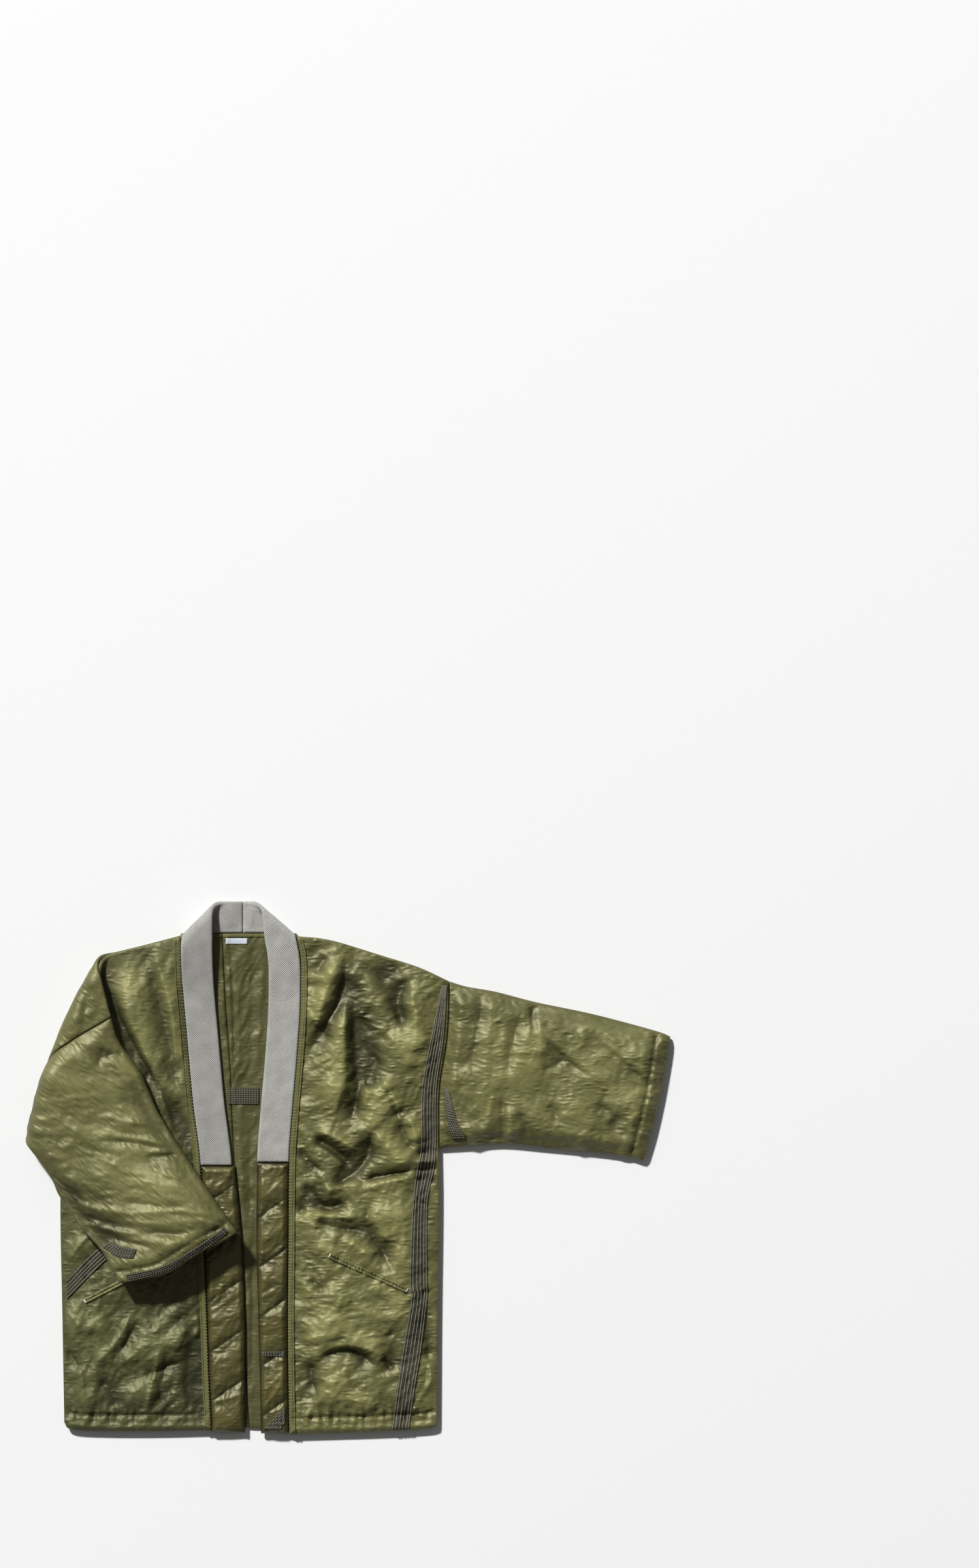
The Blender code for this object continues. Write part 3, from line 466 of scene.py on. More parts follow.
def soft_noise(points, size, seed):
    """Smooth random heights between about -1 and 1, with bumps of a given size."""
    turns = np.random.default_rng(seed).uniform(0, 2 * math.pi, (NOISE_TABLE, NOISE_TABLE))
    place = points / size
    corner = np.floor(place).astype(int)
    share = place - corner
    ease = share ** 3 * (share * (share * 6 - 15) + 10)
    total = np.zeros(len(points))
    for step_x in (0, 1):
        for step_y in (0, 1):
            turn = turns[(corner[:, 0] + step_x) % NOISE_TABLE,
                         (corner[:, 1] + step_y) % NOISE_TABLE]
            reach = np.cos(turn) * (share[:, 0] - step_x) + np.sin(turn) * (share[:, 1] - step_y)
            weight = (ease[:, 0] if step_x else 1 - ease[:, 0])
            weight = weight * (ease[:, 1] if step_y else 1 - ease[:, 1])
            total += weight * reach
    return NOISE_GAIN * total


test_noise = soft_noise(test_fill[0], 20.0, 5)
print("soft noise runs from", round(float(test_noise.min()), 2), "to",
      round(float(test_noise.max()), 2))

# %% Crumples
DRIFT_SIZE = 2.2
DRIFT_REACH = 0.7
CRUMPLE_MEAN = 0.68
CRUMPLE_SLOPE = 0.85
CALM_SIZE = 1.6
CALM_LEAST = 0.35
CALM_SPAN = 0.9
PATCH_MIDDLE = 0.55
PATCH_SPAN = 0.9


def patches(points, size, seed):
    """Shares from 0 to 1 that leave calm areas between creased ones."""
    return smoothstep(PATCH_MIDDLE + PATCH_SPAN * soft_noise(points, size, seed))


def crumple(points, size, seed, turn=0.0, stretch=1.0, softness=0.03):
    """Crumpled cloth up to 1: slanted facets that meet in thin crests."""
    cos, sin = math.cos(math.radians(turn)), math.sin(math.radians(turn))
    turned = np.column_stack([(points[:, 0] * cos + points[:, 1] * sin) / stretch,
                              points[:, 1] * cos - points[:, 0] * sin])
    drift = np.column_stack([soft_noise(turned, DRIFT_SIZE * size, seed + 1),
                             soft_noise(turned, DRIFT_SIZE * size, seed + 2)])
    drift = drift * DRIFT_REACH * size
    field = soft_noise(turned + drift, size, seed)
    return 1 - np.sqrt(field ** 2 + softness ** 2)


def crumpled(points, size, high, seed, turns, stretch=2.4):
    """Crumples within crumples, each half the size of the last and turned its own way."""
    total = np.zeros(len(points))
    for octave, turn in enumerate(turns):
        share = 0.5 ** octave
        calm = 1.0
        if octave > 0:
            calm = CALM_LEAST + CALM_SPAN * patches(points, CALM_SIZE * size, seed + 40 + octave)
        crest = crumple(points, size * share, seed + 10 * octave, turn, stretch) - CRUMPLE_MEAN
        total += high * share ** CRUMPLE_SLOPE * calm * crest
    return total


test_crests = crumple(test_fill[0], 20.0, 5)
print("crumples run from", round(float(test_crests.min()), 2), "to",
      round(float(test_crests.max()), 2))

# %% Listed folds, gathers and grooves
FACET_REACH = 1.3
FACET_EDGE = 0.68
FOLD_STEP = 7.0
FOLD_FAR = 4.0
FOLD_ENDS = 0.25
FOLD_END_HIGH = 0.15
RIPPLE_DRIFT = 0.3


def creases(points, table, up=1.0, down=1.0):
    """The heights of listed folds: path, reach left and right of it, height, sharpness."""
    total = np.zeros(len(points))
    for path, left, right, high, sharp in table:
        high *= up if high > 0 else down
        line = smooth_line(path, FOLD_STEP)
        long = np.linalg.norm(np.diff(line, axis=0), axis=1).sum()
        left, right = FACET_REACH * left, FACET_REACH * right
        far = FOLD_FAR * max(left, right)
        near = np.all((points > line.min(axis=0) - far) & (points < line.max(axis=0) + far),
                      axis=1)
        distance, place, side = nearest_on(points[near], line)
        reach = np.where(side > 0, left, right)
        ending = FOLD_ENDS * long
        ends = smoothstep(place / ending) * smoothstep((long - place) / ending)
        across = np.exp(-(distance / reach) ** (FACET_EDGE * sharp))
        total[near] += high * (FOLD_END_HIGH + (1 - FOLD_END_HIGH) * ends) * across
    return total


def gathers(points, line, period, high, reach, seed):
    """Short ripples across a seam, dying away from it."""
    distance, place, _ = nearest_on(points, line)
    ripples = soft_noise(np.column_stack([place, RIPPLE_DRIFT * distance]), period, seed)
    return high * ripples * np.exp(-distance / reach)


def groove(points, line, deep, wide):
    """A row of stitches that pulls the padding down."""
    return deep * np.exp(-(nearest_on(points, line)[0] / wide) ** 2)


test_fold = creases(test_fill[0], [(((10, 30), (70, 30)), 6.0, 12.0, 5.0, 1.6)])
print("a fold of 5 mm stands", round(float(test_fold.max()), 1), "mm over the test square")

# %% [markdown]
# The right sleeve and shoulder are folded over the front. Rolling is simple geometry: what
# lies past the fold line goes round a half circle and comes back upside down, every layer
# at its own radius. So we may draft the whole right half flat and roll it at the end.

# %% The fold
WALL = 6.0
SEAM_GAP = 0.3
FOLD_TOP = np.array((-236.0, 725.0))
FOLD_CORNER = np.array((-344.0, 452.0))
FOLD_HEIGHT = 19.0
FOLD_SLACK = 0.7
FOLD_BULGE = 13.0
FOLD_BULGE_REACH = 140.0
CUFF_LIFT = 21.0
CUFF_LIFT_FROM = 0.3
CUFF_LIFT_OVER = 0.65
SLEEVE_START = 300.0
SLEEVE_LONG = 360.0


def make_fold(start, end, outward, height, centre):
    """A fold line, moved in so that the rolled cloth ends at the line that shows."""
    run = (end - start) / np.linalg.norm(end - start)
    out = np.array((run[1], -run[0]))
    if out @ outward < 0:
        out = -out
    radius = height - centre
    return {"start": start - height * out, "along": run, "out": out, "height": height,
            "radius": radius, "arc": math.pi * radius, "length": np.linalg.norm(end - start)}


def roll_over(points, fold):
    """Roll points over a fold, and return them with the turn and how far past it they lie."""
    flat = points[:, :2]
    out = (flat - fold["start"]) @ fold["out"]
    run = (flat - fold["start"]) @ fold["along"]
    turn = np.clip(out / fold["radius"], 0.0, math.pi)
    past = np.maximum(out - fold["arc"], 0.0)
    reach = fold["height"] - points[:, 2]
    turned = out > 0
    out = np.where(turned, reach * np.sin(turn) - past, out)
    z = np.where(turned, fold["height"] - reach * np.cos(turn), points[:, 2])
    flat = fold["start"] + out[:, None] * fold["out"] + run[:, None] * fold["along"]
    return flat, z, turn / math.pi, past, out, run


SHOULDER_FOLD = make_fold(
    FOLD_TOP, FOLD_CORNER, np.array((-1.0, 0.3)), FOLD_HEIGHT, WALL + FOLD_SLACK / 2)


def lay_flat(points):
    """Cloth that stays as it is drafted."""
    return points


def lay_right(points):
    """The wearer's right half: what lies past the fold line comes over the front."""
    flat, z, turned, _, out, run = roll_over(points, SHOULDER_FOLD)
    down_sleeve = (-SLEEVE_START - points[:, 0]) / SLEEVE_LONG
    z = z + turned * CUFF_LIFT * smoothstep((down_sleeve - CUFF_LIFT_FROM) / CUFF_LIFT_OVER)
    share = np.clip(run / SHOULDER_FOLD["length"], 0.0, 1.0)
    near_fold = smoothstep(1.0 + (out - FOLD_HEIGHT) / FOLD_BULGE_REACH)
    bulge = FOLD_BULGE * np.sin(math.pi * share) * near_fold
    flat = flat + bulge[:, None] * SHOULDER_FOLD["out"]
    return np.column_stack([flat, z])


print("the fold is", round(SHOULDER_FOLD["length"]), "mm long and rolls over", FOLD_HEIGHT, "mm")

# %% [markdown]
# These are the edges of the pattern, the same as the solids were cut to. The columns are
# the height above the hem and the distance from the centre back for the seams, and x and y
# for the other edges.

# %% The pattern
SEAM_RIGHT = (
    (-20, -62), (4, -62), (90, -66), (208, -70), (310, -75), (412, -79), (493, -89),
    (532, -93), (600, -99), (680, -106), (730, -108), (760, -108), (850, -108),
)
SEAM_LEFT = (
    (-20, 57), (4, 57), (155, 55), (290, 56), (410, 57), (474, 61), (532, 66),
    (580, 70), (640, 74), (700, 75), (730, 73), (760, 68), (850, 60),
)
SHOULDER_LEFT = ((70, 757), (104, 754), (136, 747), (194, 729), (254, 710), (302, 688))
ARMHOLE_LEFT = ((286, 433), (287, 524), (299, 606), (302, 688))
SIDE_LEFT = ((284, 14), (285, 180), (287, 346), (286, 433))
HEM_LEFT = ((57, -5), (130, -3), (214, 0), (276, 5), (284, 14))
SHOULDER_RIGHT = (
    (-110, 758), (-167, 743), (-200, 735), (-236, 725), (-282, 700), (-321, 677),
)
ARMHOLE_RIGHT = ((-288, 433), (-292, 480), (-301, 545), (-306, 605), (-321, 677))
SIDE_RIGHT = ((-287, 14), (-290, 180), (-293, 350), (-288, 433))
HEM_RIGHT = ((-62, 2), (-140, 0), (-220, 0), (-276, 3), (-287, 14))
CENTRE_BACK = ((-4, 5), (-10, 90), (-21, 290), (-31, 490), (-33, 550), (-40, 650), (-46, 762))
BACK_HEM_RISE = 5.0
SLEEVE_TOP_LEFT = (
    (302, 688), (329, 680), (374, 672), (436, 656), (522, 638), (616, 613), (640, 604),
)
SLEEVE_LOW_LEFT = (
    (286, 433), (334, 436), (383, 439), (441, 434), (522, 426), (581, 418), (599, 413),
)
CUFF_LEFT = ((599, 413), (613, 461), (624, 509), (634, 563), (640, 604))
SLEEVE_TOP_RIGHT = (
    (-321, 677), (-355, 657), (-405, 645), (-466, 619), (-564, 594), (-652, 575), (-681, 569),
)
SLEEVE_LOW_RIGHT = (
    (-288, 433), (-344, 444), (-414, 433), (-446, 421), (-505, 409), (-551, 405), (-603, 389),
)
CUFF_RIGHT = ((-603, 389), (-624, 419), (-646, 451), (-661, 508), (-674, 546), (-681, 569))
PATTERN_LEFT = {
    "seam": SEAM_LEFT, "shoulder": SHOULDER_LEFT, "armhole": ARMHOLE_LEFT, "side": SIDE_LEFT,
    "hem": HEM_LEFT, "sleeve_top": SLEEVE_TOP_LEFT, "sleeve_low": SLEEVE_LOW_LEFT,
    "cuff": CUFF_LEFT,
}
PATTERN_RIGHT = {
    "seam": SEAM_RIGHT, "shoulder": SHOULDER_RIGHT, "armhole": ARMHOLE_RIGHT,
    "side": SIDE_RIGHT, "hem": HEM_RIGHT, "sleeve_top": SLEEVE_TOP_RIGHT,
    "sleeve_low": SLEEVE_LOW_RIGHT, "cuff": CUFF_RIGHT,
}
NECK_LINE = 762.0
NECK_EASE = 0.5
print("the body is", SIDE_LEFT[0][0] - SIDE_RIGHT[0][0], "mm wide")

# %% [markdown]
# Cloth finishes are small trees of nodes that read the flat cut, so a weave runs with its
# piece. The nylon is a smooth plain weave: an olive that shifts a little from place to place,
# a soft shine, and creases too fine to model. We draw those with a ridged noise as bump.
# Crests catch light and troughs lie in their neighbours' shade, so painted light and shade
# follow the relief: the colour is paler the higher each point rises above the calm face.

# %% A finish and its nodes
class Finish:
    """A cloth's finish: its shader, with short ways to add nodes to it."""

    def __init__(self, name, roughness):
        self.material = bpy.data.materials.new(name)
        self.material.use_nodes = True
        self.tree = self.material.node_tree
        self.shader = self.tree.nodes["Principled BSDF"]
        self.shader.inputs["Roughness"].default_value = roughness
        self.cut = self.add("ShaderNodeAttribute", attribute_name="cut").outputs["Vector"]

    def add(self, kind, inputs=(), **settings):
        """A new node with its settings and inputs."""
        node = self.tree.nodes.new(kind)
        for key, value in settings.items():
            setattr(node, key, value)
        for key, value in dict(inputs).items():
            if isinstance(value, bpy.types.NodeSocket):
                self.tree.links.new(value, node.inputs[key])
            else:
                node.inputs[key].default_value = value
        return node

    def noise(self, size, detail=3.0, kind="FBM", place=None, rough=0.5):
        """Noise with bumps of a size in millimetres."""
        return self.add("ShaderNodeTexNoise", {
            "Vector": place or self.cut, "Scale": 1.0 / size, "Detail": detail,
            "Roughness": rough}, noise_type=kind).outputs["Fac"]

    def stretched(self, turn, stretch):
        """The cut, turned and drawn out along one way, for long creases."""
        return self.add("ShaderNodeMapping", {
            "Vector": self.cut, "Rotation": (0.0, 0.0, math.radians(turn)),
            "Scale": (1.0 / stretch, 1.0, 1.0)}).outputs["Vector"]

    def lines(self, step, turn=0.0, wander=0.0):
        """Parallel lines a step apart, turned on the cut."""
        turned = self.add("ShaderNodeMapping", {
            "Vector": self.cut, "Rotation": (0.0, 0.0, math.radians(turn))}).outputs["Vector"]
        return self.add("ShaderNodeTexWave", {
            "Vector": turned, "Scale": 2 * math.pi / (20 * step), "Distortion": wander,
            "Detail": 1.0, "Detail Scale": 2.0}).outputs["Fac"]

    def sum(self, *pairs):
        """Heights added up, each with its own weight."""
        total = None
        for height, weight in pairs:
            share = self.add("ShaderNodeMath", {0: height, 1: weight}, operation="MULTIPLY")
            if total is not None:
                share = self.add("ShaderNodeMath", {0: share.outputs[0], 1: total},
                                 operation="ADD")
            total = share.outputs[0]
        return total

    def tint(self, height, low_colour, high_colour, low=0.3, high=0.7):
        """A colour that runs from one to another as a height rises."""
        share = self.add("ShaderNodeMapRange", {
            "Value": height, "From Min": low, "From Max": high}).outputs["Result"]
        mix = self.add("ShaderNodeMix", {0: share, 6: (*low_colour, 1.0), 7: (*high_colour, 1.0)},
                       data_type="RGBA")
        return mix.outputs[2]

    def colour(self, socket):
        """Use a colour as the cloth's own."""
        self.tree.links.new(socket, self.shader.inputs["Base Color"])

    def roughen(self, height, low, high):
        """Roughness between two values as a height rises."""
        share = self.add("ShaderNodeMapRange", {
            "Value": height, "To Min": low, "To Max": high}).outputs["Result"]
        self.tree.links.new(share, self.shader.inputs["Roughness"])

    def bump(self, height, deep):
        """Raise the surface by a height that is deep millimetres at most."""
        node = self.add("ShaderNodeBump", {"Height": height, "Distance": deep * MM,
                                           "Strength": 1.0})
        self.tree.links.new(node.outputs["Normal"], self.shader.inputs["Normal"])


print("a finish has", len([way for way in dir(Finish) if way[0] != "_"]), "ways to add nodes")

# %% Nylon
# Painted light and shade of the relief: the rise in millimetres that gives the full change, and how
# much paler or darker it paints
RISE_SPAN = 8.0
RISE_TONE = 0.72
NYLON_GLOSS = 0.8
NYLON_GLINT = (1.0, 0.95, 0.62, 1.0)
NYLON_BUMP = 2.2
WEAVE_STEP = 0.5
LEAST_SHINE = -0.04
MOST_SHINE = 0.12


def make_nylon(name, deep, light, shine, fine=1.0, shade=None):
    """Crumpled nylon in two close tones, with painted light and shade that follow the relief, and
    painted shade that may deepen it below a height on the cut.
    """
    finish = Finish(name, shine)
    finish.shader.inputs["Specular IOR Level"].default_value = NYLON_GLOSS
    finish.shader.inputs["Specular Tint"].default_value = NYLON_GLINT
    tone = finish.noise(60.0)
    # Painted shade: below a height on the cut the tone is pulled darker
    if shade is not None:
        height = finish.add("ShaderNodeSeparateXYZ", {0: finish.cut}).outputs["Y"]
        lit = finish.add("ShaderNodeMapRange", {
            "Value": height, "From Min": shade[0], "From Max": shade[1], "To Min": shade[2],
            "To Max": 0.0}).outputs["Result"]
        tone = finish.sum((tone, 1.0), (lit, 1.0))
    # Painted light and shade: the colour is scaled paler on crests and darker in troughs and at
    # falling edges, by the rise attribute
    rise = finish.add("ShaderNodeAttribute", attribute_name="rise").outputs["Fac"]
    relief_light_and_shade = finish.add("ShaderNodeMapRange", {
        "Value": rise, "From Min": -RISE_SPAN, "From Max": RISE_SPAN,
        "To Min": 1.0 - RISE_TONE, "To Max": 1.0 + RISE_TONE}).outputs["Result"]
    finish.colour(finish.add("ShaderNodeVectorMath", {
        0: finish.tint(tone, deep, light), "Scale": relief_light_and_shade}, operation="SCALE").outputs["Vector"])
    facets = finish.noise(46.0, 1.0, "FBM", finish.stretched(20.0, 1.8))
    crests = finish.noise(7.0, 4.0, "RIDGED_MULTIFRACTAL", finish.stretched(35.0, 2.2), 0.6)
    wide = finish.noise(15.0, 3.0, "RIDGED_MULTIFRACTAL", finish.stretched(-50.0, 3.5))
    weave = finish.sum((finish.lines(WEAVE_STEP), 0.5), (finish.lines(WEAVE_STEP, 90.0), 0.5))
    grain = finish.noise(2.4, 2.0)
    height = finish.sum((facets, 5.0 * fine), (crests, 0.95 * fine), (wide, 0.65 * fine),
                        (grain, 0.07), (weave, 0.012))
    finish.bump(height, NYLON_BUMP)
    finish.roughen(finish.noise(16.0), shine + LEAST_SHINE, shine + MOST_SHINE)
    return finish.material


nylon = make_nylon("nylon", (0.095, 0.094, 0.031), (0.13, 0.122, 0.044), 0.46)
# The right front gets a darker, shaded copy of the nylon, with painted shade that grows from 400 mm
# down its cut and is fullest below 200 mm
shaded_nylon_right = make_nylon("shaded_nylon_right", (0.055, 0.058, 0.02), (0.135, 0.127, 0.046), 0.5,
                         0.8, shade=(200.0, 400.0, -0.45))
lining = make_nylon("lining", (0.06, 0.06, 0.02), (0.082, 0.078, 0.028), 0.45, 0.4)
quilted_nylon = make_nylon("quilted_nylon", (0.050, 0.044, 0.013), (0.068, 0.059, 0.018), 0.42,
                           0.6)
print("nylon finishes:", [item.name for item in (nylon, shaded_nylon_right, lining, quilted_nylon)])

# %% [markdown]
# The collar is grey wool twill: fine diagonal ribs of light and dark yarn, quite matt. The
# edging is a braided cord, the tapes are charcoal with rows of stitches, and the threads
# are small pieces of their own, so they only need a plain yarn finish.

# %% Wool, edging, tape, label and thread
WOOL_ROUGHNESS = 0.92
WOOL_DEEP = (0.12, 0.117, 0.108)
WOOL_PALE = (0.61, 0.597, 0.558)
WOOL_BUMP = 0.5
TWILL_STEP = 2.3
TWILL_WANDER = 1.5
YARN_ROUGHNESS = 0.85
YARN_STEP = 1.1


def make_wool(name, turn, light):
    """Grey twill: diagonal ribs of mixed yarn."""
    finish = Finish(name, WOOL_ROUGHNESS)
    ribs = finish.lines(TWILL_STEP, turn, TWILL_WANDER)
    fibres = finish.noise(1.6, 2.0)
    clouds = finish.noise(22.0, 2.0)
    height = finish.sum((ribs, 0.55), (fibres, 0.35), (clouds, 0.2))
    # Painted light: light scales the pale yarn, so each half of the collar is painted paler or
    # darker
    pale = tuple(part * light for part in WOOL_PALE)
    finish.colour(finish.tint(height, WOOL_DEEP, pale, 0.25, 0.9))
    finish.bump(finish.sum((ribs, 0.6), (fibres, 0.4)), WOOL_BUMP)
    finish.shader.inputs["Sheen Weight"].default_value = 0.25
    finish.shader.inputs["Sheen Roughness"].default_value = 0.5
    return finish.material


def make_yarn(name, deep, light, size=1.2, deep_by=0.25):
    """A plain matt yarn or tape in two close tones."""
    finish = Finish(name, YARN_ROUGHNESS)
    fibres = finish.noise(size, 2.0)
    ribs = finish.lines(YARN_STEP, 90.0, 0.3)
    height = finish.sum((fibres, 0.6), (ribs, 0.4))
    finish.colour(finish.tint(height, deep, light))
    finish.bump(height, deep_by)
    return finish.material


# Both halves are one grey wool: the left is painted paler and the right darker, as lit and shaded
# copies, and their twill runs different ways
wool_left = make_wool("wool_left", 40.0, 1.14)
wool_right = make_wool("wool_right", 129.0, 0.92)
binding = make_yarn("binding", (0.075, 0.075, 0.022), (0.17, 0.165, 0.055))
tape = make_yarn("tape", (0.021, 0.02, 0.01), (0.056, 0.052, 0.026))
label = make_yarn("label", (0.50, 0.53, 0.58), (0.66, 0.69, 0.75), 0.9, 0.15)
pale_thread = make_yarn("pale_thread", (0.07, 0.066, 0.045), (0.26, 0.245, 0.185), 4.0, 0.1)
olive_thread = make_yarn("olive_thread", (0.16, 0.15, 0.06), (0.30, 0.28, 0.12), 0.6, 0.1)
white_thread = make_yarn("white_thread", (0.5, 0.5, 0.46), (0.75, 0.75, 0.7), 0.6, 0.1)
print("yarns:", [item.name for item in (wool_left, wool_right, binding, tape, label)])
print("threads:", [item.name for item in (pale_thread, olive_thread, white_thread)])

# %% [markdown]
# Each piece is then attached to what it rides on, and the solid that it stands for is hidden.
# One small helper does it for all of them, so that none is forgotten.

# %% Attaching a piece
def finish_piece(piece, node, slot):
    """Attach a piece to the root and hide the solid it stands for; the slot is not used."""
    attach(piece, "root")
    if node:
        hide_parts(node)
    print(piece.name, len(piece.data.polygons), "faces")
    return piece


def cut_size(outline):
    """The flat size of a cut in metres, and its area in square metres."""
    following = np.roll(outline, -1, axis=0)
    area = abs(np.sum(outline[:, 0] * following[:, 1] - following[:, 0] * outline[:, 1])) / 2
    wide, long = (outline.max(axis=0) - outline.min(axis=0)) * MM
    return (round(float(wide), 3), round(float(long), 3)), round(float(area) * MM * MM, 4)


print("the test square is cut", cut_size(square)[0], "metres")

# %% [markdown]
# The back is the bottom layer, cut in two halves that meet at the centre. Most of it is
# hidden, so only the strip that shows between the bands gets its long soft ridges, and the
# right shoulder gets creases on the outside, where it comes over at the fold.

# %% Folds of the back
BACK_STRIP = from_photo([
    ((342, 1384, 408, 1384, 408, 1540, 398, 1660, 394, 1785, 390, 2184, 381, 2184,
      372, 1990, 368, 1880, 360, 1785, 347, 1660, 334, 1540),),
])[0][0]
BACK_RIDGES = from_photo([
    ((336, 1446, 341, 1530, 345, 1640), 4, 4, 1.6, 2),
    ((347, 1440, 353, 1540, 355, 1655), 4, 3, 2.0, 2),
    ((353, 1440, 358, 1540, 359, 1655), 3, 3, -2.2, 2),
    ((357, 1450, 365, 1560, 364, 1655), 4, 6, 1.4, 2),
    ((388, 1440, 386, 1540, 384, 1655), 6, 6, -1.2, 2),
    ((398, 1440, 398, 1540, 392, 1655), 5, 4, 1.2, 2),
    ((366, 1700, 370, 1780, 374, 1860), 5, 5, 1.6, 2),
    ((384, 1700, 382, 1790, 384, 1880), 6, 6, -1.8, 2),
    ((370, 1800, 378, 1812, 386, 1822), 4, 4, 2.2, 2),
    ((371, 1815, 380, 1828, 387, 1842), 4, 4, -2.4, 2),
    ((372, 1850, 380, 1950, 384, 2060), 5, 5, 1.5, 2),
    ((386, 1900, 388, 2000, 389, 2120), 4, 4, -1.6, 2),
])
SHOULDER_CREASES = from_photo([
    ((140, 1480, 118, 1530, 106, 1590), 6, 5, 2.6, 1.6),
    ((148, 1495, 133, 1545, 132, 1580), 5, 4, -3.0, 1.6),
    ((147, 1485, 140, 1530, 146, 1570), 5, 5, 2.8, 1.6),
    ((120, 1560, 132, 1572, 145, 1574), 5, 5, -2.6, 1.6),
    ((150, 1500, 156, 1540, 160, 1560), 3, 4, -2.2, 1.6),
    ((88, 1598, 110, 1590, 126, 1592), 5, 5, -2.0, 1.6),
])
print("the back has", len(BACK_RIDGES) + len(SHOULDER_CREASES), "folds")

# %% The faces of the back
RIM = 2.6
RIM_UNDER = 0.9
STRIP_FADE = 6.0
STRIP_CRUMPLE = (30.0, 3.0)
STRIP_TURNS = (80.0, 60.0, 110.0)
SHOULDER_FROM = 10.0
SHOULDER_OVER = 30.0
SHOULDER_FADE = 8.0
SHOULDER_CRUMPLE = (40.0, 4.5)
SHOULDER_TURNS = (100.0, 70.0, 120.0, 30.0)
SHOULDER_LOWEST = -3.0
SHOULDER_HIGHEST = 4.0


def back_outline(pattern, side):
    """Half of the back, from the neck round the shoulder and side to the centre."""
    centre = smooth_line(CENTRE_BACK) + np.array((side * SEAM_GAP / 2, 0.0))
    shoulder_line = smooth_line(pattern["shoulder"])
    hem_line = smooth_line(((CENTRE_BACK[0][0], 0),) + tuple(pattern["hem"][1:]))
    hem_line = hem_line + np.array((0.0, BACK_HEM_RISE))
    hem_line[0] = centre[0]
    centre[-1][1] = NECK_LINE - NECK_EASE
    neck = smooth_line((centre[-1], (shoulder_line[0][0] - side * 2, NECK_LINE - NECK_EASE)))
    side_line = smooth_line(pattern["side"])
    side_line[0] = hem_line[-1]
    return join_edges(neck, shoulder_line, smooth_line(pattern["armhole"])[::-1],
                      side_line[::-1], hem_line[::-1], centre)


def back_inside(flat, outline):
    """The height of the back's inside face."""
    shown = inside(flat, BACK_STRIP) * smoothstep(from_edge(flat, BACK_STRIP) / STRIP_FADE)
    relief = creases(flat, BACK_RIDGES) + crumpled(flat, *STRIP_CRUMPLE, 31, STRIP_TURNS)
    return WALL - RIM_UNDER * rounded(from_edge(flat, outline), RIM) + shown * relief


def back_outside(flat, outline):
    """The height of the back's outside face, which shows where the shoulder comes over."""
    depth = from_edge(flat, outline)
    out = (flat - SHOULDER_FOLD["start"]) @ SHOULDER_FOLD["out"]
    shown = smoothstep((out - SHOULDER_FROM) / SHOULDER_OVER) * smoothstep(depth / SHOULDER_FADE)
    place = lay_right(raised(flat, 0.0))[:, :2]
    relief = creases(place, SHOULDER_CREASES)
    relief = relief + crumpled(place, *SHOULDER_CRUMPLE, 37, SHOULDER_TURNS)
    relief = np.clip(relief, SHOULDER_LOWEST, SHOULDER_HIGHEST)
    return RIM_UNDER * rounded(depth, RIM) - shown * relief


print("the left half of the back has", len(back_outline(PATTERN_LEFT, 1)), "points round it")

# %% Making the back
BACK_FILL = 4.2
STRIP_FILL = 2.4


def make_back(side_name, side, pattern, lay):
    """Half of the back: lining inside, nylon outside."""
    outline = back_outline(pattern, side)
    flat, triangles = fill(outline, BACK_FILL, fine=(BACK_STRIP, STRIP_FILL))
    top = back_inside(flat, outline)
    bottom = back_outside(flat, outline)
    if side > 0:
        bottom = RIM_UNDER * rounded(from_edge(flat, outline), RIM)
    surfaces = [lay(raised(flat, top)), lay(raised(flat, bottom))]
    piece = make_slab("back_" + side_name, flat, triangles, surfaces, [lining, nylon])
    size, area = cut_size(outline)
    finish_piece(piece, "back_" + side_name, "lining")


make_back("left", 1, PATTERN_LEFT, lay_flat)
make_back("right", -1, PATTERN_RIGHT, lay_right)

# %% [markdown]
# The fronts are the main faces of the jacket. Each is drafted flat with a low pillow of
# wadding, then gets the folds that the photograph shows. A row of the table below is one
# fold: pixels along its line, how far it reaches left and right of that line in
# millimetres, its height (a trough is negative) and how pointed it is.

